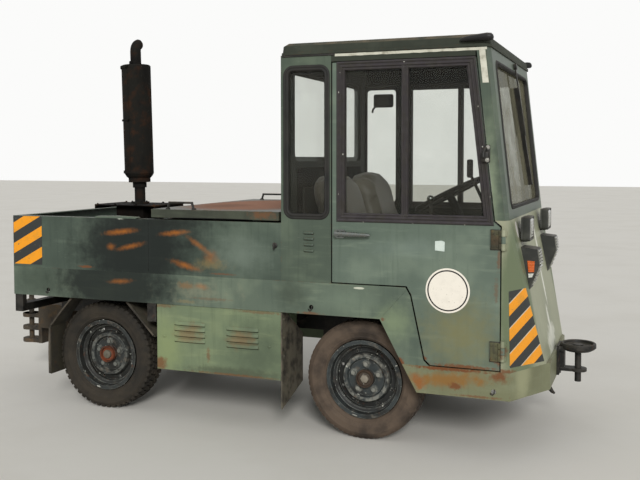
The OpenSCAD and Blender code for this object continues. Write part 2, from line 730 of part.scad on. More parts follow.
module dashboard() color(black) from_axle() difference() {
    union() {
        rotate([90, 0, 0]) linear_extrude(2 * dash_y, center = true) polygon([[dash_x[0], dash_z[0]],
            [dash_x[0] - 12, dash_z[2]],
            [dash_x[0] + 18, dash_z[3] + 3], [dash_x[1], dash_z[3]], [dash_x[1], dash_z[0]]]);
        // Its shelf meets the front panel.
        rotate([90, 0, 0]) linear_extrude(2 * dash_y - 140, center = true) polygon([[dash_x[1] - 1, dash_z[1]],
            [dash_x[1] - 1, dash_z[3] - 1], [panel_at(dash_z[3] - 1) - skin - 1.5 * fit, dash_z[3] - 1],
            [panel_at(dash_z[1]) - skin - 1.5 * fit, dash_z[1]]]);
    }
    translate([0, driver_y, 0]) translate(wheel_at) rotate([0, -wheel_tilt, 0]) translate([0, 0, -700])
        cylinder(h = 700, r = column_r + 4);
}

driver_y = 270;
wheel_at = [233, 0, 1141];
wheel_tilt = 27;
steer_d = 410;
column_r = 22;
column_len = (wheel_at[2] - column_r * sin(wheel_tilt) - box_foot[1] - fit) / cos(wheel_tilt);

module steering_wheel() color(black) from_axle() translate([0, driver_y, 0]) translate(wheel_at)
    rotate([0, -wheel_tilt, 0]) {
    rotate_extrude($fn = 72) translate([steer_d / 2 - 12, 0]) circle(12);
    cylinder(h = 26, r = 40, center = true);
    for (a = [90, 210, 330]) rotate(a) translate([30, -12, -14]) cube([steer_d / 2 - 48, 24, 9]);
    translate([0, 0, -column_len]) cylinder(h = column_len, r = column_r);
}

seat_w = 420;
cushion_x = [-162, 243];
cushion_z = [773, 859];
// The back cushion is deep at its foot and leans to a thinner head
back_foot = [-300, -60];
back_head = [-335, -205];
back_z = [875, 1010, 1262];
head_r = 60;
// A ball of 16 sides stays short of its radius by this share
ball_short = 1 - cos(180 / 16);
back_plate = [back_head[0] - 9, back_head[0] + head_r * ball_short - fit];

module at_seats() for (s = [-1, 1]) translate([0, s * driver_y, 0]) children();

module seat_frames() color(black) from_axle() at_seats() {
    block([cushion_x[0] + 10, -seat_w / 2 + 20, seat_box_z],
        [cushion_x[1] - 20, seat_w / 2 - 20, cushion_z[0] - fit]);
    block([back_plate[0], -seat_w / 2 + 60, seat_box_z], [back_plate[1], seat_w / 2 - 60, back_z[2] - 70]);
    block([back_plate[0], -seat_w / 2 + 60, seat_box_z], [cushion_x[0] + 11, seat_w / 2 - 60, seat_box_z + 20]);
}

module pad(low, high, r) hull() for (x = [low[0] + r, high[0] - r], y = [low[1] + r, high[1] - r],
    z = [low[2] + r, high[2] - r])
    translate([x, y, z]) sphere(r = r, $fn = 16);

module seat_cushions() color(vinyl) from_axle() at_seats()
    pad([cushion_x[0], -seat_w / 2, cushion_z[0]], [cushion_x[1], seat_w / 2, cushion_z[1]], 26);

module seat_backs() color(vinyl) from_axle() at_seats() hull() {
    pad([back_foot[0], -seat_w / 2, back_z[0]], [back_foot[1], seat_w / 2, back_z[1]], 36);
    pad([back_head[0], -seat_w / 2 + 30, back_z[1]], [back_head[1], seat_w / 2 - 30, back_z[2]], head_r);
}

// Side boxes and mudguards

side_box_x = [-wheelbase + wheel_r + 97, cab_x - 4];
side_box_z = [266, sill_z0 - fit];
side_box_in = 400;
// Louvre groups: start and width as shares of the box's length, height of the lowest slot
box_len = side_box_x[1] - side_box_x[0];
box_louvres = [[0.147, 0.253, 411], [0.5735, 0.253, 405]];
box_slot_h = 9;
box_louvre_pitch = 28;

module side_box() difference() {
    block([side_box_x[0], -half_w + 4, side_box_z[0]], [side_box_x[1], -side_box_in, side_box_z[1]]);
    block([side_box_x[0] + skin, -half_w + 4 + skin, side_box_z[0] + skin],
        [side_box_x[1] - skin, -side_box_in - skin, side_box_z[1] - skin]);
    // Two groups of four louvre slots.
    for (g = box_louvres, i = [0 : 3])
        translate([side_box_x[0] + g[0] * box_len, -half_w + 3, g[2] + box_louvre_pitch * i])
            cube([g[1] * box_len, skin + 2, box_slot_h]);
}

module side_box_right() color(pale_green) from_axle() side_box();
module side_box_left() color(pale_green) from_axle() on_left() side_box();

module front_mudguards() color(steel) from_axle() both_sides()
    translate([cab_x - 4 + fit, 0, 0]) rotate([90, 0, 90]) linear_extrude(4) polygon([[-half_w + 10, 126],
        [-half_w + 10, sill_z0 - fit], [-half_w + 50, sill_z0 - fit], [-330, 452], [-330, 205]]);

guard_w = 130;
guard_y = -half_w + 30;
// Top and foot of the rear guard behind the axle, and the flap that hangs from it
guard_back = [wheel_r - 120, wheel_r + 20];
flap_z = [171, 431];

module slanted_plate(a, b, t) rotate([90, 0, 0]) linear_extrude(guard_w)
    polygon([a, b, b + [t, 0], a + [t, 0]]);

module rear_mudguards() color(black) from_axle() both_sides() translate([0, guard_y + guard_w, 0]) {
    slanted_plate([-wheelbase + wheel_r - 105, sill_z0 - fit], [side_box_x[0] - 34, flap_z[1] - 11], 4);
    slanted_plate([-wheelbase - guard_back[0], sill_z0 - fit], [-wheelbase - guard_back[1], flap_z[1] - 1], 4);
    slanted_plate([-wheelbase - guard_back[1], flap_z[1]], [-wheelbase - guard_back[1], flap_z[0]], 5);
}

// Exhaust

exhaust_x = rear_x + exhaust_in;
base_t = 12;
// The stack leans to the rear by this angle
stack_lean = 1.5;
outlet_bend = 45;
outlet_turn = 75;

module exhaust_stack() color(rust) from_axle() translate([exhaust_x, 0, tray_z]) {
    translate([0, 0, fit]) cylinder(h = base_t, r = neck_r + 22);
    rotate([0, -stack_lean, 0]) translate([0, 0, -tray_z]) {
        // Neck, stepped cone and silencer.
        rotate_extrude() polygon([[0, tray_z + 5], [neck_r, tray_z + 5],
            [neck_r, silencer_z[0] - 82], [neck_r + 9, silencer_z[0] - 82], [neck_r + 9, silencer_z[0] - 52],
            [silencer_r - 21, silencer_z[0] - 50], [silencer_r - 21, silencer_z[0] - 27],
            [silencer_r - 9, silencer_z[0] - 15], [silencer_r, silencer_z[0]],
            [silencer_r, silencer_z[1] - 6], [silencer_r - 6, silencer_z[1]], [0, silencer_z[1]]]);
        // The outlet turns to the left at its top.
        bend_z = outlet_z - (outlet_bend + outlet_r) * sin(outlet_turn);
        translate([0, 0, silencer_z[1] - 1]) cylinder(h = bend_z - silencer_z[1] + 1.5, r = outlet_r);
        rotate(-90) translate([-outlet_bend, 0, bend_z]) rotate([90, 0, 0])
            rotate_extrude(angle = outlet_turn) translate([outlet_bend, 0]) circle(outlet_r - 0.5);
    }
}

tray = [406, 320, 5];
stand = [182, 220];

module exhaust_tray() color(rust) from_axle() translate([exhaust_x, 0, 0]) {
    block([-tray[0] / 2, -tray[1] / 2, tray_z - tray[2]], [tray[0] / 2, tray[1] / 2, tray_z]);
    difference() {
        block([-stand[0] / 2, -stand[1] / 2, well_z], [stand[0] / 2, stand[1] / 2, tray_z - tray[2] + tiny]);
        block([-stand[0] / 2 + skin, -stand[1] / 2 + skin, well_z - 1],
            [stand[0] / 2 - skin, stand[1] / 2 - skin, tray_z - tray[2] - skin]);
    }
}

// Couplings

front_jaw_z = [297, 397];
front_pin_x = front_overhang + front_reach - 85;

// A jaw plate with a round nose about the pin.
module jaw(from, pin_x, r, z, t) difference() {
    union() {
        translate([pin_x, 0, z]) cylinder(h = t, r = r);
        block([min(from, pin_x), -r * 0.8, z], [max(from, pin_x), r * 0.8, z + t]);
    }
    translate([pin_x, 0, z - 1]) cylinder(h = t + 2, r = coupling_pin_r + fit);
}

// The upper jaw is a dish with a raised round rim.
dish_r = 85;

module front_coupling() color(black) from_axle() {
    plate_x = front_overhang + 11;
    z = front_jaw_z[1];
    block([front_overhang + fit, -62, 281], [front_overhang + 12, 62, 425]);
    block([plate_x, -30, front_jaw_z[0]], [front_overhang + 34, 30, z + jaw_t]);
    block([plate_x, -52, z], [front_pin_x - dish_r * 0.7, 52, z + jaw_t]);
    translate([front_pin_x, 0, z]) rotate_extrude() polygon([[coupling_pin_r + fit, 0], [62, 0], [dish_r - 8, 9],
        [dish_r, 16], [dish_r, 28], [dish_r - 5, 34], [dish_r - 13, 34], [dish_r - 17, 25], [62, jaw_t],
        [coupling_pin_r + fit, jaw_t]]);
    jaw(plate_x, front_pin_x, 42, front_jaw_z[0], 14);
    translate([front_pin_x, 0, 245]) cylinder(h = z + jaw_t - 245, r = coupling_pin_r - 0.5);
    translate([front_pin_x, 0, z + jaw_t]) cylinder(h = 9, r = coupling_pin_r + 8);
}

rear_pin_x = rear_x - rear_reach + 52;
coupling_face = rear_x - beam_len;
// The hollow beam: half width, bottom and top, wall; the plate: half width, bottom and top
beam = [62, 295, 443, 8];
rear_plate = [185, 291, 581];

module rear_coupling() color(rust) from_axle() {
    difference() {
        block([coupling_face, -beam[0], beam[1]], [rear_x - fit, beam[0], beam[2]]);
        block([coupling_face + beam[3], -beam[0] + beam[3], beam[1] + beam[3]],
            [rear_x - 12, beam[0] - beam[3], beam[2] - beam[3]]);
    }
    block([rear_x - 12, -rear_plate[0], rear_plate[1]], [rear_x - fit, rear_plate[0], rear_plate[2]]);
    block([coupling_face - 26, -48, jaw_z[0]], [coupling_face + tiny, 48, jaw_z[3] + jaw_t + 14]);
    for (i = [0 : 3]) jaw(coupling_face - 20, rear_pin_x, 52, jaw_z[i], jaw_t);
    translate([rear_pin_x, 0, jaw_z[0] - 8]) cylinder(h = jaw_z[3] + jaw_t + 34 - jaw_z[0] + 8,
        r = coupling_pin_r - 0.5);
    translate([rear_pin_x, 0, jaw_z[3] + jaw_t]) cylinder(h = 8, r = coupling_pin_r + 8);
}

// Lamps and small fittings

head_lamp = [36, 140, 106];
head_lamp_z = 1016;
turn_lamp_w = 124;
turn_lamp_z = [743, 859, 926, 934];
turn_lamp_out = [82, 72];

module headlamps() color(black) from_axle() both_sides() {
    back = panel_at(head_lamp_z) + 18;
    low = head_lamp_z - head_lamp[2] / 2;
    translate([back, -lamp_y - head_lamp[1] / 2, low]) rotate([90, 0, 90]) linear_extrude(head_lamp[0])
        round_rect(head_lamp[1], head_lamp[2], 12);
    // Its post stands out from the panel.
    block([panel_at(low - 9) + 1.2 * fit, -lamp_y - 12, low - 9], [back + 20, -lamp_y + 12, low + 3]);
}

// A turn lamp tapers down to a point on the panel.
module turn_lamps() color(black) from_axle() both_sides() translate([0, turn_lamp_w / 2 - lamp_y, 0])
    rotate([90, 0, 0])
    linear_extrude(turn_lamp_w) polygon([[panel_at(turn_lamp_z[3]) + 1.2 * fit, turn_lamp_z[3]],
        [panel_at(turn_lamp_z[3]) + turn_lamp_out[1], turn_lamp_z[2]],
        [panel_at(turn_lamp_z[3]) + turn_lamp_out[0], turn_lamp_z[1]],
        [panel_at(turn_lamp_z[0]) + 1.2 * fit, turn_lamp_z[0]]]);

roof_lamp = [138, 34];
roof_lamp_at = [-120, 22];
// Its foot reaches in to the leaning side of the roof.
roof_lamp_in = 8.3;

module roof_lamps() color(black) from_axle() both_sides()
    translate([screen_at(roof_z0) + roof_lamp_at[0], -half_w - roof_over - 2, roof_z0 + roof_lamp_at[1]]) {
        // A rounded plan that tapers to the rear.
        linear_extrude(roof_lamp[1]) {
            polygon([[0, 0], [0, -14], [roof_lamp[0] - 20, -26], [roof_lamp[0], -6], [roof_lamp[0], 0]]);
            translate([0, -7]) circle(7);
            translate([roof_lamp[0] - 20, -6]) circle(20);
        }
        translate([10, -tiny, 2]) cube([roof_lamp[0] - 30, roof_lamp_in, roof_lamp[1] - 4]);
    }

// The wiper hangs from a boss over the glass; its blade lies on the glass.
wiper_at = [65, screen_len + 24];
wiper_turn = 17.7;
wiper_arm_len = 360;
wiper_blade = [14, 520];
wiper_blade_from = 108;

module wiper() color(black) from_axle() screen_place() translate([wiper_at[0], wiper_at[1], 0]) {
    translate([0, 0, fit]) cylinder(h = 16, r = 15);
    rotate(wiper_turn) {
        translate([-6, -wiper_arm_len, 4]) cube([12, wiper_arm_len, 6]);
        translate([-wiper_blade[0] / 2, -wiper_blade_from - wiper_blade[1], fit - wall / 2])
            cube([wiper_blade[0], wiper_blade[1], wall / 2 + 5]);
    }
}

chassis_frame();
sill_right();
sill_left();
deck_side_right();
deck_side_left();
rear_panel();
well_floor();
engine_block();
engine_lid();
lid_handles();
cab_floor();
cab_rear_wall();
rear_window_panel();
quarter_panel_right();
quarter_panel_left();
windscreen_frame();
front_panel();
front_skirt();
roof();
windscreen();
rear_glass();
quarter_glass();
door_right();
door_left();
window_frame_right();
window_frame_left();
door_glass_right();
door_glass_left();
dashboard();
steering_wheel();
seat_frames();
seat_cushions();
seat_backs();
side_box_right();
side_box_left();
front_mudguards();
rear_mudguards();
rear_axle();
front_axle();
knuckle_right();
knuckle_left();
rim_front_right();
rim_front_left();
rim_rear_right();
rim_rear_left();
tyre_front_right();
tyre_front_left();
tyre_rear_right();
tyre_rear_left();
exhaust_stack();
exhaust_tray();
front_coupling();
rear_coupling();
headlamps();
turn_lamps();
roof_lamps();
wiper();
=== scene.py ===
"""Looks of a diesel baggage tug that has worked and stood outside for years.

Lengths here are in millimetres. Places are (along, across, up): along is measured forward from the front axle,
across to the left from the middle, up from the ground.
"""
from __future__ import annotations

import logging
import random
from dataclasses import dataclass
from enum import Enum
from math import atan, cos, pi, radians, sin, sqrt, tau
from typing import Callable, Sequence

import bmesh
import bpy
from mathutils import Matrix, Vector
from mathutils.bvhtree import BVHTree


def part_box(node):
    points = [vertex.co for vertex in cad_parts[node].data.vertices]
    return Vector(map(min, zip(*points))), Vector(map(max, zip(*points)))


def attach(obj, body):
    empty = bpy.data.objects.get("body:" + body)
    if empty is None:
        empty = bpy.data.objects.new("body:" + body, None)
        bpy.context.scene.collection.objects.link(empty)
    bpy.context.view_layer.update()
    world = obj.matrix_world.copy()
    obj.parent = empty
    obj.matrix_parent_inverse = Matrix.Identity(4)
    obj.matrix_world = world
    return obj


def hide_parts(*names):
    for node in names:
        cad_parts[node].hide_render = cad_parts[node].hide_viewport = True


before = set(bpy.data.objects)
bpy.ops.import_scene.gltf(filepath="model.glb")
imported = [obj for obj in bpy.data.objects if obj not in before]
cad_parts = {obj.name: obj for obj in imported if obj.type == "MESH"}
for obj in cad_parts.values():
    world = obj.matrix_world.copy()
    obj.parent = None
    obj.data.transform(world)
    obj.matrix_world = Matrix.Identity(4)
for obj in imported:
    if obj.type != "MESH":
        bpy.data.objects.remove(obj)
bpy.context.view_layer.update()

Point = tuple[float, float, float]
Flat = tuple[float, float]
Rings = Sequence[Sequence[Point]]
Socket = bpy.types.NodeSocket
Material = bpy.types.Material
Object = bpy.types.Object
LOG = logging.getLogger("tug")
MM = 0.001
# The front axle's place along the shared frame, in metres.
AXLE = sum(corner.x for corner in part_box("tyre_front_right")) / 2
HALF_W = 600.0
WHEELBASE = 1455.0
WHEEL_R = 285.0
# The circle of the wheel studs.
STUD_R = 66.0
# The rear panel's outer face, the roof's lower edge, and the hinge leaves' heights.
REAR = -1970.0
ROOF_LOW = 1819.0
HINGES = (490, 981)
# The cab's front leans back by this for each mm up; the belt line is where it meets the nose's panel.
LEAN = 0.1167
BELT: Flat = (689.0, 1064.0)
NOSE_FOOT: Flat = (828.0, 401.0)
CAB_MIDDLE: Point = (150, 0, 1300)


class Side(Enum):
    """The two sides of the tug, with the sign of across."""

    RIGHT = -1
    LEFT = 1

    @property
    def word(self) -> str:
        """The side's name as the nodes spell it."""
        return self.name.lower()


def place(point: Sequence[float]) -> Vector:
    """Turn a place in mm from the front axle into metres of the shared frame."""
    return Vector((AXLE + point[0] * MM, point[1] * MM, point[2] * MM))


def linear(colour: str) -> tuple[float, float, float, float]:
    """Turn an sRGB hex colour into linear values.

    Args:
        colour: The colour as #rrggbb.

    Returns:
        Linear red, green, blue and an alpha of 1.
    """
    parts = (int(colour[i:i + 2], 16) / 255 for i in (1, 3, 5))
    return (*(p / 12.92 if p <= 0.04045 else ((p + 0.055) / 1.055) ** 2.4 for p in parts), 1.0)


def screen_at(up: float) -> float:
    """How far forward the windscreen panel lies at a height."""
    return BELT[0] - LEAN * (up - BELT[1])


def panel_at(up: float) -> float:
    """How far forward the leaning front panel lies at a height."""
    return NOSE_FOOT[0] - (NOSE_FOOT[0] - BELT[0]) * (up - NOSE_FOOT[1]) / (BELT[1] - NOSE_FOOT[1])


def around(count: int) -> list[float]:
    """Angles evenly spaced round a full turn."""
    return [tau * k / count for k in range(count)]


# ---- Finishes ----


def add_node(tree: bpy.types.NodeTree, kind: str, inputs: dict | None = None,
             **settings: object) -> bpy.types.ShaderNode:
    """Add a shader node with its settings, and fill or link its inputs.

    Args:
        tree: The node tree to add to.
        kind: The node's type without its ShaderNode prefix.
        inputs: Input names or numbers, each with a value or the socket that feeds it.
        **settings: Properties of the node.

    Returns:
        The new node.
    """
    made = tree.nodes.new("ShaderNode" + kind)
    for name, value in settings.items():
        setattr(made, name, value)
    for key, value in (inputs or {}).items():
        if isinstance(value, Socket):
            tree.links.new(value, made.inputs[key])
        else:
            made.inputs[key].default_value = value
    return made


@dataclass(frozen=True)
class Spot:
    """A patch of another colour at one place, such as rust, a scuff or sprayed paint; some spots are painted shade or
    a painted highlight.
    """

    centre: Point
    reach: Point
    colour: str = "#6f4322"
    strength: float = 0.8
    tilt: float = 0.0
    ragged: float = 0.9
    soft: float = 0.7
    roughness: float = 0.85


class Coat:
    """A material that is built up from its base coat outwards, by places and sizes in mm."""

    def __init__(self, name: str, colour: str, roughness: float, metallic: float = 0.0) -> None:
        """Start the material with its base colour, roughness and metallic value.

        Args:
            name: The material's name.
            colour: Colour of the base coat.
            roughness: Its roughness.
            metallic: Its metallic value.
        """
        self.material = bpy.data.materials.new(name)
        self.material.use_nodes = True
        self.tree = self.material.node_tree
        self.tree.nodes.clear()
        self.here = add_node(self.tree, "TexCoord").outputs["Object"]
        self.geometry = add_node(self.tree, "NewGeometry").outputs
        self.normal = self.geometry["Normal"]
        self.base, self.rough, self.metallic = linear(colour), roughness, metallic
        self.height = None

    def node(self, kind: str, out: int | str, inputs: dict, **settings: object) -> Socket:
        """Add a node to the material and give one of its outputs."""
        return add_node(self.tree, kind, inputs, **settings).outputs[out]

    def vector(self, how: str, one: Socket, other: Socket | Sequence[float]) -> Socket:
        """Join two vectors."""
        return self.node("VectorMath", "Value" if how == "DOT_PRODUCT" else 0, {0: one, 1: other}, operation=how)

    def fade(self, value: Socket, low: float, high: float) -> Socket:
        """Turn a value into a mask that fades in from low to high."""
        return self.node("MapRange", "Result", {"Value": value, "From Min": low, "From Max": high},
                interpolation_type="SMOOTHSTEP")

    def joined(self, one: Socket | float, other: Socket | float, how: str = "MULTIPLY") -> Socket:
        """Join two masks or numbers by an arithmetic operation."""
        return self.node("Math", 0, {0: one, 1: other}, operation=how)

    def cloud(self, size: float, stretch: Point = (1, 1, 1), seed: float = 0.0, detail: float = 4.0) -> Socket:
        """An uneven field from 0 to 1 whose features are about size mm across.

        Args:
            size: Feature size in mm.
            stretch: How many times finer it is along each axis.
            seed: Shifts the pattern.
            detail: Octaves of finer detail.

        Returns:
            The field's socket.
        """
        laid = self.node("Mapping", 0, {"Vector": self.here, "Location": (seed, 2 * seed, -seed),
                "Scale": tuple(s / (size * MM) for s in stretch)})
        return self.node("TexNoise", 0, {"Vector": laid, "Scale": 1.0, "Detail": detail, "Roughness": 0.6})

    def patches(self, size: float, low: float, high: float, **how: object) -> Socket:
        """A mask of uneven patches: the field of cloud() faded in from low to high."""
        return self.fade(self.cloud(size, **how), low, high)

    def axis(self, which: int) -> Socket:
        """The place along one axis of the object, in metres."""
        return self.node("SeparateXYZ", which, {0: self.here})

    def facing(self, which: int) -> Socket:
        """How much the surface faces along one axis, in world coordinates."""
        return self.node("SeparateXYZ", which, {0: self.normal})

    def turned_to(self, centre: Point) -> Socket:
        """A mask for the faces that look toward a place, such as the inside of the cab's sheets, which get painted
        shade.

        Args:
            centre: The place, in mm from the front axle.

        Returns:
            The mask.
        """
        way = self.vector("SUBTRACT", self.here, place(centre))
        own = self.node("VectorTransform", 0, {"Vector": self.normal}, vector_type="NORMAL", convert_from="WORLD",
                convert_to="OBJECT")
        return self.fade(self.vector("DOT_PRODUCT", way, own), -0.15, -0.3)

    def near(self, spot: Spot) -> Socket:
        """A mask around one spot, with a ragged outline.

        Args:
            spot: The spot.

        Returns:
            The mask.
        """
        way = self.vector("SUBTRACT", self.here, place(spot.centre))
        if spot.tilt:
            way = self.node("VectorRotate", 0, {"Vector": way, "Angle": radians(spot.tilt)},
                    rotation_type="Y_AXIS")
        scaled = self.vector("MULTIPLY", way, [1 / (r * MM) for r in spot.reach])
        far = self.node("VectorMath", "Value", {0: scaled}, operation="LENGTH")
        grain = self.cloud(max(14.0, min(spot.reach) * 0.8), seed=spot.centre[0] * 0.01, detail=5)
        far = self.node("Math", 0, {0: grain, 1: spot.ragged * 2, 2: far}, operation="MULTIPLY_ADD")
        return self.joined(self.fade(far, 1.0 + spot.ragged, 1.0 + spot.ragged - spot.soft), spot.strength)

    def ring(self, along: float, inner: float, outer: float, soft: float = 4.0) -> Socket:
        """A mask for the ring between two radii about the wheel axis that lies at along.

        Args:
            along: Where the axis lies.
            inner: The smaller radius.
            outer: The larger radius.
            soft: Width of its fading edges.

        Returns:
            The mask.
        """
        way = self.vector("SUBTRACT", self.here, place((along, 0, WHEEL_R)))
        far = self.node("VectorMath", "Value", {0: self.vector("MULTIPLY", way, (1, 0, 1))}, operation="LENGTH")
        inside = self.fade(far, (inner - soft) * MM, (inner + soft) * MM)
        return self.joined(inside, self.fade(far, (outer + soft) * MM, (outer - soft) * MM))

    def bevelled(self, radius: float) -> Socket:
        """The normal with sharp edges rounded by radius mm."""
        return self.node("Bevel", 0, {"Radius": radius * MM}, samples=4)

    def worn_edges(self, radius: float) -> Socket:
        """A mask along sharp edges, radius mm wide."""
        return self.fade(self.vector("DOT_PRODUCT", self.bevelled(radius), self.normal), 0.97, 0.75)

    def cover(self, colour: str, mask: Socket, roughness: float | None = None) -> None:
        """Lay a colour over what is there, where the mask says, with its own roughness if it has one.

        Args:
            colour: The colour.
            mask: Where it lies.
            roughness: Its own roughness, if it has one.
        """
        self.base = self.node("Mix", 2, {0: mask, 6: self.base, 7: linear(colour)}, data_type="RGBA")
        if roughness is not None:
            self.rough = self.node("Mix", 0, {0: mask, 2: self.rough, 3: roughness})

    def relief(self, field: Socket, depth: float) -> None:
        """Add a field to the surface's height, depth mm at its full value."""
        before = 0.0 if self.height is None else self.height
        self.height = self.node("Math", 0, {0: field, 1: depth, 2: before}, operation="MULTIPLY_ADD")

    def stain(self, colour: str, size: float, low: float, high: float, share: float = 1.0,
            roughness: float | None = None, **how: object) -> None:
        """Lay a colour on in uneven patches.

        Args:
            colour: The colour.
            size: Size of the patches in mm.
            low: Value of the field where a patch begins.
            high: Value where it is full.
            share: How strongly a full patch covers.
            roughness: Its own roughness, if it has one.
            **how: Stretch, seed and detail of the field.
        """
        self.cover(colour, self.joined(self.patches(size, low, high, **how), share), roughness)

    def spots(self, spots: Sequence[Spot]) -> None:
        """Lay each spot over what is there."""
        for spot in spots:
            self.cover(spot.colour, self.near(spot), spot.roughness)

    def done(self, edge: float = 0.0, **inputs: object) -> Material:
        """Close the material with its shader.

        Args:
            edge: Radius in mm by which sharp edges look broken.
            **inputs: Values of other inputs of the shader, by name with _ for a space.

        Returns:
            The material.
        """
        wired = {"Base Color": self.base, "Roughness": self.rough, "Metallic": self.metallic}
        wired.update({name.replace("_", " "): value for name, value in inputs.items()})
        normal = self.bevelled(edge) if edge else None
        if self.height is not None:
            bump = {"Height": self.height, "Distance": MM, "Strength": 1.0}
            if normal is not None:
                bump["Normal"] = normal
            normal = self.node("Bump", 0, bump)
        if normal is not None:
            wired["Normal"] = normal
        shader = add_node(self.tree, "BsdfPrincipled", wired)
        add_node(self.tree, "OutputMaterial", {"Surface": shader.outputs[0]})
        return self.material


@dataclass(frozen=True)
class PaintedSheet:
    """Alkyd vehicle paint brushed on sheet steel: IOR 1.5, dielectric, roughness 0.35 new and 0.5 when chalked.

    The eye sees a chalky green-grey film with darker soft clouds, a bleached bloom on the flats, rain streaks,
    dust on what faces up, and rust where an edge has lost its paint.

    Attributes:
        inner: Colour of the faces that look into the cab, a painted shade, if it is another.
        matt: Roughness of the whole sheet, if its gloss is gone.
    """

    name: str
    colour: str = "#59665a"
    shade: str = "#3c4941"
    bleached: str = "#76836f"
    shade_share: float = 0.5
    dust: float = 0.35
    chips: float = 0.55
    spots: tuple[Spot, ...] = ()
    inner: str = ""
    matt: float = 0.0

    def make(self) -> Material:
        """Build the material.

        Returns:
            The material.
        """
        coat = Coat(self.name, self.colour, 0.46)
        # Soft clouds of the brushed coat are 300 to 500 mm across.
        coat.stain(self.shade, 430, 0.42, 0.7, self.shade_share, 0.38, seed=1.3, detail=2)
        coat.stain(self.bleached, 240, 0.48, 0.72, 0.5, 0.56, seed=4.1, detail=3)
        # Wiped bands lie along the sheet, 40 mm high.
        coat.stain(self.bleached, 120, 0.52, 0.7, 0.4, 0.6, stretch=(0.4, 1, 3), seed=12.0, detail=3)
        # Rain streaks are 12 mm wide and run down the sheet.
        coat.stain(self.shade, 160, 0.5, 0.72, 0.28, stretch=(9, 9, 0.6), seed=7.0, detail=3)
        # Speckles of grime, 5 mm across.
        coat.stain("#2f332b", 7, 0.66, 0.74, 0.45, 0.7, seed=2.2)
        # Fine scratches, drawn 1 mm wide and 60 mm long so that they show.
        coat.stain("#8b9685", 60, 0.7, 0.73, 0.35, stretch=(1, 1, 26), seed=9.0, detail=2)
        worn = coat.joined(coat.worn_edges(5), coat.patches(26, 0.5, 0.62, seed=5.5))
        coat.cover("#6d4a2e", coat.joined(worn, self.chips), 0.85)
        coat.spots(self.spots)
        settled = coat.joined(coat.fade(coat.facing(2), 0.55, 0.95), coat.patches(90, 0.3, 0.7, seed=3.3))
        coat.cover("#6f6350", coat.joined(settled, self.dust), 0.8)
        coat.relief(coat.cloud(240, seed=6.0, detail=1), 1.6)
        coat.relief(coat.cloud(4, seed=8.0, detail=2), 0.035)
        # Faces that look into the cab get the inner colour as painted shade.
        if self.inner:
            coat.cover(self.inner, coat.turned_to(CAB_MIDDLE), 0.75)
        coat.rough = self.matt or coat.rough
        # Chalking leaves half of the gloss.
        return coat.done(edge=1.6, Specular_IOR_Level=0.27)


@dataclass(frozen=True)
class RustedSteel:
    """Bare or burnt steel with a brown oxide crust: non-metallic crust, roughness 0.85 to 0.95.

    The eye sees a dark scale with orange-brown bloom in patches of a few centimetres, and pits.
    """

    name: str
    colour: str = "#4a3a2c"
    bloom: str = "#7a4c2b"
    scale: str = "#26221e"
    pits: str = "#a08466"
    shine: float = 0.25
    spots: tuple[Spot, ...] = ()

    def make(self) -> Material:
        """Build the material.

        Returns:
            The material.
        """
        coat = Coat(self.name, self.colour, 0.88)
        coat.stain(self.bloom, 70, 0.46, 0.68, 0.75, 0.95, seed=1.0, detail=6)
        coat.stain(self.scale, 110, 0.5, 0.66, 0.8, 0.72, stretch=(1, 1, 0.5), seed=6.0)
        coat.stain(self.pits, 16, 0.64, 0.72, 0.35, seed=2.0)
        coat.spots(self.spots)
        coat.relief(coat.cloud(9, seed=3.0, detail=5), 0.9)
        coat.relief(coat.cloud(45, seed=4.0), 1.4)
        return coat.done(edge=1.2, Specular_IOR_Level=self.shine)


@dataclass(frozen=True)
class DustyBlack:
    """Black chassis enamel under road dust: IOR 1.5, roughness 0.5 clean and 0.85 with dust.

    The eye sees near-black metal that goes grey-brown wherever it faces up.
    """

    name: str
    colour: str = "#1d1d1b"
    dust_colour: str = "#5a5145"
    dust: float = 0.6
    rust: float = 0.3

    def make(self) -> Material:
        """Build the material.

        Returns:
            The material.
        """
        coat = Coat(self.name, self.colour, 0.5)
        coat.cover("#33302b", coat.patches(60, 0.4, 0.7, seed=1.0), 0.62)
        coat.stain("#5b3b26", 35, 0.58, 0.7, self.rust, 0.9, seed=2.0, detail=6)
        coat.cover("#77736a", coat.joined(coat.joined(coat.worn_edges(4), coat.patches(30, 0.45, 0.6)), 0.5), 0.6)
        up = coat.joined(coat.fade(coat.facing(2), 0.2, 0.9), coat.patches(50, 0.25, 0.6, seed=4.0))
        coat.cover(self.dust_colour, coat.joined(up, self.dust), 0.85)
        coat.relief(coat.cloud(5, detail=3), 0.12)
        return coat.done(edge=1.2, Specular_IOR_Level=0.3)


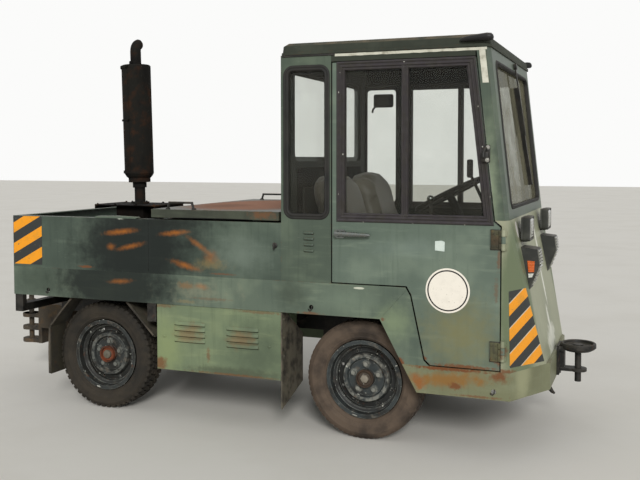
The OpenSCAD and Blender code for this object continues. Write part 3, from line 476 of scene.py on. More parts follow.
@dataclass(frozen=True)
class WheelPaint:
    """Blue-grey wheel enamel on pressed steel, knocked and flaked: roughness 0.45, chips bare and paler.

    The eye sees a dark slate dish with silver flakes of a few millimetres and brown dust in its hollows, and a dark
    ring of painted shade in the deep groove round the dish.
    """

    name: str
    along: float = 0.0
    colour: str = "#434a4b"
    dirt: str = "#2d2a26"
    flake: str = "#b4b3a8"
    worn: str = "#8a8a80"
    hub: str = "#5a4a3a"

    def make(self) -> Material:
        """Build the material.

        Returns:
            The material.
        """
        coat = Coat(self.name, self.colour, 0.42)
        coat.stain(self.dirt, 70, 0.42, 0.62, 0.8, 0.7, seed=1.5)
        coat.stain("#6d665a", 45, 0.55, 0.7, 0.6, 0.8, seed=3.0)
        # The dark ring between radii 118 and 165 mm is painted shade in the deep groove round the dish; the same
        # colour lays real dirt in patches above.
        coat.cover(self.dirt, coat.joined(coat.ring(self.along, 118, 165, 8), 0.75), 0.7)
        rubbed = coat.joined(coat.ring(self.along, 96, 116, 5), coat.patches(30, 0.4, 0.6, seed=6.0))
        coat.cover(self.worn, coat.joined(rubbed, 0.6), 0.55)
        # The studs' pads are worn pale.
        for stud in range(5):
            angle = radians(72 * stud + 90)
            at = (self.along + STUD_R * cos(angle), 0, WHEEL_R + STUD_R * sin(angle))
            coat.cover(self.worn, coat.near(Spot(at, (25, 900, 25), strength=0.8, ragged=0.5, soft=0.5)), 0.6)
        coat.cover(self.hub, coat.joined(coat.ring(self.along, -9, 43, 2), 0.9), 0.85)
        coat.cover("#8d9088", coat.joined(coat.joined(coat.worn_edges(5), coat.patches(40, 0.35, 0.6)), 0.7), 0.5)
        coat.stain(self.flake, 24, 0.66, 0.68, 1.0, 0.35, seed=5.0, detail=3)
        coat.stain("#5c3a24", 30, 0.62, 0.7, 0.5, 0.9, seed=8.0)
        coat.relief(coat.cloud(12, seed=2.0, detail=4), 0.3)
        return coat.done(edge=1.5, Specular_IOR_Level=0.3)


@dataclass(frozen=True)
class RoadRubber:
    """Vulcanised tyre or seal rubber: IOR 1.52, roughness 0.75, carbon black with dry clay dust on it.

    The eye sees a dull warm black that the dust turns brown in wide patches.
    """

    name: str
    colour: str = "#211f1c"
    dust_colour: str = "#6a5646"
    dust: float = 0.7
    rough: float = 0.78

    def make(self) -> Material:
        """Build the material.

        Returns:
            The material.
        """
        coat = Coat(self.name, self.colour, self.rough)
        coat.stain(self.dust_colour, 150, 0.3, 0.62, self.dust, 0.92, seed=1.0, detail=5)
        coat.stain(self.colour, 60, 0.55, 0.7, 0.4, 0.8, seed=5.0)
        coat.stain("#8a7864", 9, 0.66, 0.74, 0.3 * self.dust, seed=2.0)
        coat.relief(coat.cloud(3, detail=3), 0.12)
        return coat.done(edge=0.8, Specular_IOR_Level=0.3)


@dataclass(frozen=True)
class CabGlass:
    """Flat toughened cab glass, 5 mm, with a film of dust: IOR 1.52, roughness 0.02, hardly tinted."""

    name: str
    tint: str = "#f7f8f6"
    haze: float = 0.04
    dust: str = "#8f8a7c"

    def make(self) -> Material:
        """Build the material: mostly clear, with a film of dust and a Fresnel reflection.

        Returns:
            The material.
        """
        coat = Coat(self.name, self.tint, 0.03)
        tree = coat.tree
        film = coat.joined(coat.patches(160, 0.05, 0.7, seed=2.0, detail=5), self.haze)
        clear = add_node(tree, "BsdfTransparent", {"Color": linear(self.tint)})
        # The film of dust dulls the reflection to a third: #9da09e is 0.34 in linear light.
        shine = add_node(tree, "BsdfGlossy", {"Color": linear("#9da09e"), "Roughness": 0.03})
        dust = add_node(tree, "BsdfDiffuse", {"Color": linear(self.dust)})
        # Only the outer face of each pane mirrors, so that a slanting look through it stays clear.
        outer = coat.joined(1.0, coat.geometry["Backfacing"], "SUBTRACT")
        fresnel = coat.joined(add_node(tree, "Fresnel", {"IOR": 1.5}).outputs[0], outer)
        glazed = add_node(tree, "MixShader", {0: fresnel, 1: clear.outputs[0], 2: shine.outputs[0]})
        dusty = add_node(tree, "MixShader", {0: film, 1: glazed.outputs[0], 2: dust.outputs[0]})
        add_node(tree, "OutputMaterial", {"Surface": dusty.outputs[0]})
        return coat.material


@dataclass(frozen=True)
class SeatVinyl:
    """Calendered PVC seat cover with a leather grain: IOR 1.53, roughness 0.5, a faint sheen where polished."""

    name: str
    colour: str = "#4a463d"

    def make(self) -> Material:
        """Build the material; its grain is 3 mm, drawn twice as coarse as the real one so that it shows.

        Returns:
            The material.
        """
        coat = Coat(self.name, self.colour, 0.5)
        coat.stain("#5e584c", 130, 0.42, 0.7, 0.6, 0.62, seed=1.0)
        coat.stain("#2f2c27", 60, 0.55, 0.7, 0.6, 0.45, seed=4.0)
        cells = add_node(coat.tree, "Mapping", {"Vector": coat.here, "Scale": (330, 330, 330)})
        grain = add_node(coat.tree, "TexVoronoi", {"Vector": cells.outputs[0], "Scale": 1.0}).outputs["Distance"]
        coat.relief(grain, 0.25)
        coat.relief(coat.cloud(50, detail=3), 1.2)
        return coat.done(Sheen_Weight=0.08)


@dataclass(frozen=True)
class MouldedPlastic:
    """Injection-moulded ABS, eroded finish, IOR 1.53: dull, sun-greyed on top, with fine spark texture."""

    name: str
    colour: str = "#232422"
    greyed: str = "#4b4a44"
    rough: float = 0.55
    share: float = 0.5
    shine: float = 0.3

    def make(self) -> Material:
        """Build the material; the spark texture is 1.5 mm, drawn coarser than the real 0.2 mm so that it shows.

        Returns:
            The material.
        """
        coat = Coat(self.name, self.colour, self.rough)
        coat.stain(self.greyed, 80, 0.38, 0.7, self.share, 0.68, seed=1.0, detail=5)
        coat.cover("#6d655a", coat.joined(coat.fade(coat.facing(2), 0.4, 1.0), 0.35), 0.8)
        coat.relief(coat.cloud(1.5, detail=2), 0.06)
        return coat.done(edge=1.0, Specular_IOR_Level=self.shine)


@dataclass(frozen=True)
class Plated:
    """Chrome or zinc plate on steel or die-cast: metallic 1, roughness 0.16 new and 0.4 dulled, pitted with age."""

    name: str
    colour: str = "#c3c4bf"
    rough: float = 0.16

    def make(self) -> Material:
        """Build the material.

        Returns:
            The material.
        """
        coat = Coat(self.name, self.colour, self.rough, 1.0)
        coat.stain("#77756d", 12, 0.5, 0.66, 0.7, 0.5, seed=1.0)
        coat.stain("#5a4a38", 7, 0.64, 0.7, 0.7, 0.8, seed=2.0)
        coat.relief(coat.cloud(5, detail=3), 0.05)
        return coat.done(edge=0.8)


@dataclass(frozen=True)
class WarningFilm:
    """Retroreflective vinyl film in diagonal bars: IOR 1.5, roughness 0.4, scuffed through in places.

    Attributes:
        pitch: Height in mm from one yellow bar to the next.
        rise: How far a bar climbs for each mm forward.
        phase: Share of the pitch by which the bars are shifted.
        edged: Strength of the pale line along each bar.
    """

    name: str
    pitch: float
    rise: float
    phase: float
    edged: float = 0.0
    yellow: str = "#f09a06"
    black: str = "#262826"

    def make(self) -> Material:
        """Build the material.

        Returns:
            The material.
        """
        coat = Coat(self.name, self.black, 0.42)
        slide = coat.joined(coat.axis(0), -self.rise / (self.pitch * MM))
        climb = add_node(coat.tree, "Math", {0: coat.axis(2), 1: 1 / (self.pitch * MM), 2: slide},
                operation="MULTIPLY_ADD").outputs[0]
        share = coat.joined(coat.joined(climb, self.phase, "ADD"), 1.0, "FLOORED_MODULO")
        bar = coat.joined(share, 0.5, "LESS_THAN")
        coat.cover(self.yellow, bar, 0.36)
        if self.edged:
            rim = add_node(coat.tree, "Math", {0: share, 1: 0.5, 2: 0.025}, operation="COMPARE").outputs[0]
            coat.cover("#d9d2bb", coat.joined(rim, self.edged), 0.5)
        coat.cover("#c08a2a", coat.joined(coat.joined(bar, coat.patches(60, 0.45, 0.7, seed=1.0)), 0.5))
        coat.stain("#59604f", 22, 0.66, 0.7, 1.0, 0.6, stretch=(1, 1, 2.4), seed=3.0, detail=5)
        coat.stain("#3a3a34", 5, 0.64, 0.72, 0.5, seed=2.0)
        return coat.done()


@dataclass(frozen=True)
class Enamel:
    """Baked white or black sign enamel, or glossy tape: IOR 1.5, roughness 0.3, greyed and nicked."""

    name: str
    colour: str
    grime: str = "#8e897b"
    share: float = 0.35
    rough: float = 0.34

    def make(self) -> Material:
        """Build the material.

        Returns:
            The material.
        """
        coat = Coat(self.name, self.colour, self.rough)
        coat.stain(self.grime, 40, 0.45, 0.75, self.share, 0.6, seed=1.0, detail=5)
        coat.stain(self.grime, 6, 0.64, 0.7, 0.6, 0.7, seed=2.0)
        coat.relief(coat.cloud(18, detail=2), 0.2)
        return coat.done()


@dataclass(frozen=True)
class LampLens:
    """Moulded acrylic lens with ribs on its inside: IOR 1.49, roughness 0.12 with dust, clear or dyed."""

    name: str
    colour: str
    see_through: float = 0.35
    rib_pitch: float = 12.0

    def make(self) -> Material:
        """Build the material; its ribs are about twice as wide as on a real lens, so that they show.

        Returns:
            The material.
        """
        coat = Coat(self.name, self.colour, 0.12)
        # The wave texture has 20 / (2 pi) bands for each unit of its scale.
        scale = tau / (20 * self.rib_pitch * MM)
        rib = add_node(coat.tree, "TexWave", {"Vector": coat.here, "Scale": scale, "Distortion": 0.0},
                bands_direction="Z").outputs[1]
        coat.stain("#5a5348", 14, 0.58, 0.7, 0.4, 0.6, seed=1.0)
        coat.relief(rib, 1.0)
        return coat.done(IOR=1.49, Transmission_Weight=self.see_through)


@dataclass(frozen=True)
class StudioGround:
    """Pale screeded floor or paper backdrop: diffuse, roughness 0.9, so it holds the shadow softly."""

    name: str
    colour: str

    def make(self) -> Material:
        """Build the material.

        Returns:
            The material.
        """
        coat = Coat(self.name, self.colour, 0.9)
        coat.stain("#cbc7bd", 900, 0.4, 0.7, 0.35, seed=2.0)
        return coat.done()


# ---- Meshes ----


def put(name: str, data: bpy.types.ID) -> Object:
    """Put data into the scene.

    Args:
        name: The new object's name.
        data: Its data.

    Returns:
        The object.
    """
    made = bpy.data.objects.new(name, data)
    bpy.context.scene.collection.objects.link(made)
    return made


class Work:
    """The faces of one piece while it is being made, in mm from the front axle."""

    def __init__(self) -> None:
        """Start with no faces."""
        self.mesh = bmesh.new()

    def loft(self, rings: Rings, round_trip: bool = False) -> None:
        """Join closed rings of points by faces.

        Args:
            rings: Rings of equally many points.
            round_trip: Whether the last ring joins the first; if not, both ends get a face.
        """
        made = [[self.mesh.verts.new(p) for p in ring] for ring in rings]
        for one, two in list(zip(made, made[1:])) + ([(made[-1], made[0])] if round_trip else []):
            for i in range(len(one)):
                j = (i + 1) % len(one)
                self.mesh.faces.new((one[i], one[j], two[j], two[i]))
        if not round_trip:
            self.mesh.faces.new(tuple(reversed(made[0])))
            self.mesh.faces.new(tuple(made[-1]))

    def block(self, low: Point, high: Point, soft: float = 0.0) -> None:
        """Add a block.

        Args:
            low: One corner.
            high: The opposite corner.
            soft: Rounding of its edges in mm.
        """
        size = [h - l for l, h in zip(low, high)]
        middle = [(l + h) / 2 for l, h in zip(low, high)]
        made = bmesh.ops.create_cube(self.mesh, size=1.0,
                matrix=Matrix.Translation(middle) @ Matrix.Diagonal((*size, 1)))
        if soft:
            edges = {e for v in made["verts"] for e in v.link_edges}
            bmesh.ops.bevel(self.mesh, geom=list(edges), offset=min(soft, min(size) * 0.45), segments=2,
                    profile=0.5, affect="EDGES")

    def plate(self, outline: Sequence[Point], depth: Point, soft: float = 0.0) -> None:
        """Add a flat outline given thickness.

        Args:
            outline: Its front edge.
            depth: Way from the front to the back.
            soft: Rounding of the front edge in mm.
        """
        back = [tuple(a + d for a, d in zip(p, depth)) for p in outline]
        if not soft:
            self.loft([outline, back])
            return
        middle = Vector([sum(c) / len(outline) for c in zip(*outline)])
        inner = [tuple(Vector(p) + (middle - Vector(p)).normalized() * soft) for p in outline]
        self.loft([inner, [tuple(Vector(p) + Vector(depth).normalized() * soft) for p in outline], back])

    def lathe(self, profile: Sequence[Flat], centre: Point, out: Point = (0, -1, 0), steps: int = 32) -> None:
        """Turn a profile about an axis.

        Args:
            profile: Points as (radius, height).
            centre: Where the axis starts.
            out: The axis, the way that height is measured.
            steps: Sides of the turned form.
        """
        turn = Vector((0, 0, 1)).rotation_difference(Vector(out)).to_matrix()
        self.loft([[tuple(Vector(centre) + turn @ Vector((radius * cos(a), radius * sin(a), height)))
                for a in around(steps)] for radius, height in ((max(r, 0.01), h) for r, h in profile)])

    def rod(self, path: Sequence[Point], radius: float | Sequence[float], sides: int = 12,
            closed: bool = False) -> None:
        """Add a round bar along a path.

        Args:
            path: Points of its middle line.
            radius: One radius, or one for each point.
            sides: Sides of its section.
            closed: Whether it ends where it starts.
        """
        points = [Vector(p) for p in path]
        count = len(points)
        radii = [radius] * count if isinstance(radius, (int, float)) else list(radius)
        rings, normal = [], None
        for i, point in enumerate(points):
            ahead = points[(i + 1) % count] if closed or i < count - 1 else point
            behind = points[i - 1] if closed or i > 0 else point
            along = (ahead - behind).normalized()
            if normal is None:
                normal = along.orthogonal().normalized()
            normal = (normal - along * normal.dot(along)).normalized()
            side = along.cross(normal)
            rings.append([tuple(point + radii[i] * (normal * cos(a) + side * sin(a)))
                    for a in around(sides)])
        self.loft(rings, round_trip=closed)

    def bolt(self, at: Point, out: Point, radius: float, height: float) -> None:
        """Add a hexagon head on a washer.

        Args:
            at: Its foot.
            out: The way it stands out.
            radius: Of the head, over its corners.
            height: Of the head with the washer.
        """
        wide, thick = radius * 1.5, height * 0.25
        self.lathe([(0, 0), (wide, 0), (wide, thick), (0, thick)], at, out, 20)
        self.lathe([(0, 0), (radius, 0), (radius, height * 0.85), (radius * 0.85, height), (0, height)], at, out, 6)

    def screw(self, at: Point, out: Point, radius: float) -> None:
        """Add a domed screw head."""
        self.lathe([(0, 0), (radius, 0), (radius, radius * 0.25), (radius * 0.75, radius * 0.5), (0, radius * 0.62)],
                at, out, 14)

    def to_side(self, side: Side) -> Work:
        """Mirror what was drawn on the right, if the side is the left one.

        Args:
            side: The side.

        Returns:
            The same work.
        """
        if side is Side.LEFT:
            bmesh.ops.scale(self.mesh, vec=(1, -1, 1), verts=self.mesh.verts)
            bmesh.ops.reverse_faces(self.mesh, faces=self.mesh.faces)
        return self

    def piece(self, name: str, finish: Material, slot: str, crease: float = 35.0, body: str = "chassis") -> Object:
        """Close the piece and hang it on its body.

        Args:
            name: The piece's name.
            finish: Its material.
            slot: Not used; it names the material slot of the record.
            crease: Edges sharper than this many degrees stay sharp.
            body: The CAD body that it moves with.

        Returns:
            The new object.
        """
        bmesh.ops.recalc_face_normals(self.mesh, faces=self.mesh.faces)
        for vert in self.mesh.verts:
            vert.co = place(vert.co)
        data = bpy.data.meshes.new(name)
        self.mesh.to_mesh(data)
        self.mesh.free()
        data.shade_smooth()
        data.set_sharp_from_angle(angle=radians(crease))
        data.materials.append(finish)
        made = put(name, data)
        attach(made, body)
        LOG.info("piece %s: %d faces on %s", name, len(data.polygons), body)
        return made

    def hang(self, side: Side, name: str, finish: Material, slot: str, crease: float = 35.0,
             body: str = "chassis") -> Object:
        """Turn the piece to its side and hang it on its body, with the side's word in its name."""
        return self.to_side(side).piece(f"{name}_{side.word}", finish, slot, crease, body)


def dress(finish: Material, *nodes: str) -> None:
    """Give CAD nodes a material.

    Args:
        finish: The material.
        *nodes: Names of the nodes.
    """
    for name in nodes:
        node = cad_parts[name]
        if not node.material_slots:
            node.data.materials.append(finish)
        for slot in node.material_slots:
            slot.material = finish
    LOG.info("finish %s on %s", finish.name, ", ".join(nodes))


def round_outline(x0: float, x1: float, y0: float, y1: float, radius: float, steps: int = 8) -> list[Flat]:
    """A rectangle with round corners as points, counter-clockwise.

    Args:
        x0: Least of the first value.
        x1: Greatest of the first value.
        y0: Least of the second value.
        y1: Greatest of the second value.
        radius: Of the corners.
        steps: Steps of each corner.

    Returns:
        The points.
    """
    points = []
    for cx, cy, start in ((x1 - radius, y0 + radius, -90), (x1 - radius, y1 - radius, 0),
            (x0 + radius, y1 - radius, 90), (x0 + radius, y0 + radius, 180)):
        for i in range(steps + 1):
            a = radians(start + 90 * i / steps)
            points.append((cx + radius * cos(a), cy + radius * sin(a)))
    return points


class Skin:
    """The surface of a CAD node, to lay thin pieces on."""

    def __init__(self, node: str) -> None:
        """Read the surface of the node."""
        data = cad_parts[node].data
        self.tree = BVHTree.FromPolygons([v.co.copy() for v in data.vertices], [[*p.vertices] for p in data.polygons])

    def lay(self, work: Work, grid: Rings, toward: Point, lift: float, thick: float) -> None:
        """Lay a grid of points on the surface as a thin sheet.

        Args:
            work: Gets the faces.
            grid: Rows of points outside the surface.
            toward: The way from the points to the surface.
            lift: Gap in mm between surface and sheet.
            thick: Thickness of the sheet in mm.
        """
        way = Vector(toward).normalized()
        rows = []
        for row in grid:
            out = []
            for point in row:
                hit = self.tree.ray_cast(place(point) - way * 0.15, way)[0]
                if hit is None:
                    hit = self.tree.find_nearest(place(point))[0]
                out.append(Vector(((hit.x - AXLE) / MM, hit.y / MM, hit.z / MM)) - way * lift)
            rows.append(out)
        top = [[work.mesh.verts.new(p - way * thick) for p in row] for row in rows]
        low = [[work.mesh.verts.new(p) for p in row] for row in rows]
        last, end = len(rows) - 1, len(rows[0]) - 1
        for i in range(last):
            for j in range(end):
                work.mesh.faces.new((top[i][j], top[i][j + 1], top[i + 1][j + 1], top[i + 1][j]))
                work.mesh.faces.new((low[i][j], low[i + 1][j], low[i + 1][j + 1], low[i][j + 1]))
        edge = [(0, j) for j in range(end + 1)] + [(i, end) for i in range(1, last + 1)]
        edge += [(last, j) for j in range(end - 1, -1, -1)] + [(i, 0) for i in range(last - 1, 0, -1)]
        for (i, j), (k, m) in zip(edge, edge[1:] + edge[:1]):
            work.mesh.faces.new((top[i][j], low[i][j], low[k][m], top[k][m]))


def between(a: Point, b: Point, share: float) -> Point:
    """The point a share of the way from a to b."""
    return tuple(p + (q - p) * share for p, q in zip(a, b))


def quad_grid(corners: Sequence[Point], across: int, up: int) -> list[list[Point]]:
    """Rows of points that fill four corners, given as lower left, lower right, upper right, upper left.

    Args:
        corners: The corners.
        across: Steps from left to right.
        up: Steps from low to high.

    Returns:
        The rows, from low to high.
    """
    low_left, low_right, high_right, high_left = corners
    return [[between(between(low_left, low_right, j / across), between(high_left, high_right, j / across), i / up)
            for j in range(across + 1)] for i in range(up + 1)]


# ---- Wheels ----


@dataclass
class Wheel:
    """One wheel: a cross-country tyre with blocks, a valve and balance marks on the rim of the CAD."""

    side: Side
    front: bool
    radius: float = WHEEL_R
    across: float = 440.0
    steps: int = 104

    @property
    def groove(self) -> float:
        """Depth of the tread: the front tyres are worn."""
        return 4.0 if self.front else 9.0

    @property
    def blocks(self) -> int:
        """How many tread blocks lie round the tyre."""
        return 64 if self.front else 52

    @property
    def words(self) -> str:
        """Its name: front_right and so on."""
        return f"{'front' if self.front else 'rear'}_{self.side.word}"

    @property
    def centre(self) -> Point:
        """Its middle, drawn on the right."""
        return (0.0 if self.front else -WHEELBASE, -self.across, self.radius)

    def point(self, radius: float, out: float, angle: float) -> Point:
        """A point of the wheel by radius, distance outwards from its middle plane, and angle."""
        x, y, z = self.centre
        return (x + radius * cos(angle), y - out, z + radius * sin(angle))

    def carcass(self, work: Work) -> None:
        """Turn the flank and the groove floor of the tyre.

        Args:
            work: Gets the faces.
        """
        floor = self.radius - self.groove
        half = [(188.5, 50), (190, 54.5), (195, 60), (200, 63.5), (203, 67), (206, 67.5), (209, 67), (216, 69.5),
                (226, 72.6), (229, 74), (232, 73.6), (244, 74.4), (252, 73.6), (256, 74.2), (259, 72.6), (266, 69),
                (271, 65.5), (floor, 60), (floor, 30), (floor, 0)]
        section = half + [(r, -w) for r, w in reversed(half[:-1])]
        inner = [(189.0, -40), (189.0, 40)]
        work.loft([[self.point(r, w, a) for r, w in section + inner] for a in around(self.steps)], round_trip=True)

    def tread(self, work: Work) -> None:
        """Set the tread blocks: a centre rib row, and on both sides a middle row and shoulder lugs.

        Args:
            work: Gets the faces.
        """
        turn = tau / self.blocks
        for inner, outer, shift, gap, lug in ((0, 12.5, 0.0, 0.16, False), (17, 36, 0.35, 0.2, False),
                (41, 66, 0.0, 0.3, True)):
            for sign in (1, -1) if inner else (1,):
                for i in range(self.blocks):
                    self.one_block(work, (inner or -outer, outer), sign, turn * (i + shift * sign),
                            turn * (1 - gap), lug)

    def one_block(self, work: Work, edges: Flat, sign: int, start: float, length: float, lug: bool) -> None:
        """Set one tread block with drafted walls.

        Args:
            work: Gets the faces.
            edges: Its inner and outer edge, in mm from the tyre's middle plane.
            sign: Which half of the tyre, 1 or -1.
            start: The angle where it starts.
            length: Its length as an angle.
            lug: Whether it runs down over the shoulder.
        """
        inner, outer = edges
        floor = self.radius - self.groove - 1.0
        skew = 0.018 * sign
        top, low = [], []
        for w, end in ((inner, 0), (inner, 1), (outer, 1), (outer, 0)):
            angle = start + length * end + skew * (w - inner) / 20
            drop = 3.0 if lug and w == outer else 0.0
            inset = 0.006 if end == 0 else -0.006
            run = self.groove / 9 if lug and w == outer else 0.0
            top.append(self.point(self.radius - drop - 0.1, sign * (w - (2.0 if w == outer else 0)), angle + inset))
            low.append(self.point(floor - 6.0 * run, sign * (w + 3.5 * run), angle))
        work.loft([low, top])

    def rim_details(self, work: Work) -> None:
        """The valve stem and a clip-on balance weight.

        Args:
            work: Gets the faces.
        """
        foot, tip = self.point(150.0, 22, 1.1), self.point(142.0, 52, 1.1)
        work.rod([foot, between(foot, tip, 0.5), tip], [5.5, 4, 3.4], 10)
        work.rod([self.point(181, 60 + 2 * (k % 2), 4.4 + 0.02 * k) for k in range(8)], 3.2, 6)

    def hub_cap(self, work: Work) -> None:
        """A pressed grease cap in the hub: a worn hexagon in front, a domed cap behind.

        Args:
            work: Gets the faces.
        """
        if self.front:
            work.lathe([(0, 38), (21, 38), (22, 45), (20, 51), (13, 54), (0, 54.5)], self.centre, steps=6)
        else:
            work.lathe([(0, 39), (23, 39), (23, 46), (21, 51), (14, 54.5), (0, 55.5)], self.centre, steps=36)
            work.lathe([(0, 55), (5, 55), (5, 58), (3, 60), (0, 60)], self.centre, steps=6)

    def hub_cup(self, work: Work) -> None:
        """The rusty cup that stands round the cap."""
        work.lathe([(34, 34), (43.5, 34), (43.5, 49), (41, 52), (37, 52), (35, 48), (34, 34)], self.centre, steps=44)

    def build(self, rubber: Material, metal: Material, cap: Material, cup: Material) -> None:
        """Make the wheel's pieces and hang them on its body.

        Args:
            rubber: Finish of the tyre.
            metal: Finish of the valve and the weight.
            cap: Finish of the hub's cap.
            cup: Finish of the cup round it.
        """
        body = f"wheel_{self.words}"
        tyre = Work()
        self.carcass(tyre)
        self.tread(tyre)
        made = tyre.to_side(self.side).piece(f"tyre_{self.words}_treaded", rubber, "tyre_rubber", 28, body)
        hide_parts(f"tyre_{self.words}")
        for make, name, finish in ((self.rim_details, "valve", metal), (self.hub_cap, "grease_cap", cap),
                (self.hub_cup, "hub_cup", cup)):
            work = Work()
            make(work)
            work.to_side(self.side).piece(f"{name}_{self.words}", finish, "wheel_paint", body=body)


# ---- Glazing and seals ----


@dataclass
class Glazing:
    """Rubber seals round the fixed windows."""

    proud: float = 5.5
    depth: float = 14.0

    def seal(self, work: Work, outline: Callable[[float], list[Flat]], lift: Callable[[Flat, float], Point],
            wide: float = 24.0) -> None:
        """Run a lip seal round an opening.

        Args:
            work: Gets the faces.
            outline: Gives the opening's outline grown by some mm.
            lift: Puts a flat point and a height over the panel in place.
            wide: How far the seal covers the pane from the opening's edge.
        """
        proud = self.proud
        section = [(-wide, -self.depth), (-wide, -2), (-wide + 3, proud * 0.7), (-wide * 0.68, proud),
                (-wide * 0.46, proud * 0.85), (-wide * 0.38, proud * 0.4), (-wide * 0.3, proud * 0.85),
                (0, proud * 0.7), (4, 0.4), (4, -0.8), (-1, -0.8), (-1, -self.depth)]
        work.loft([[lift(p, height) for p in outline(grow)] for grow, height in section], round_trip=True)

    def build(self, rubber: Material) -> None:
        """Make the seals of quarter windows, windscreen and rear window.

        Args:
            rubber: Its finish.
        """
        lean = atan(LEAN)
        foot = (screen_at(1110.0), 1110.0)

        def on_screen(p: Flat, out: float) -> Point:
            """A point of the windscreen's plane, out mm in front of it."""
            return (foot[0] - p[1] * sin(lean) + out * cos(lean), p[0],
                    foot[1] + p[1] * cos(lean) + out * sin(lean))

        for side in Side:
            work = Work()
            self.seal(work, lambda g: round_outline(-366 - g, -139 + g, 1051 - g, 1766 + g, 45 + g),
                    lambda p, out: (p[0], -HALF_W - out, p[1]))
            work.hang(side, "quarter_seal", rubber, "cab_plastic", 60)
        for name, outline, lift, wide in (
                ("windscreen_seal", lambda g: round_outline(-490 - g, 490 + g, -g, 664.5 + g, 45 + g), on_screen, 13),
                ("rear_window_seal", lambda g: round_outline(-500 - g, 500 + g, 1319 - g, 1765 + g, 45 + g),
                lambda p, out: (-382 - out, p[0], p[1]), 24.0)):
            work = Work()
            self.seal(work, outline, lift, wide)
            work.piece(name, rubber, "cab_plastic", 60)


# ---- Doors ----


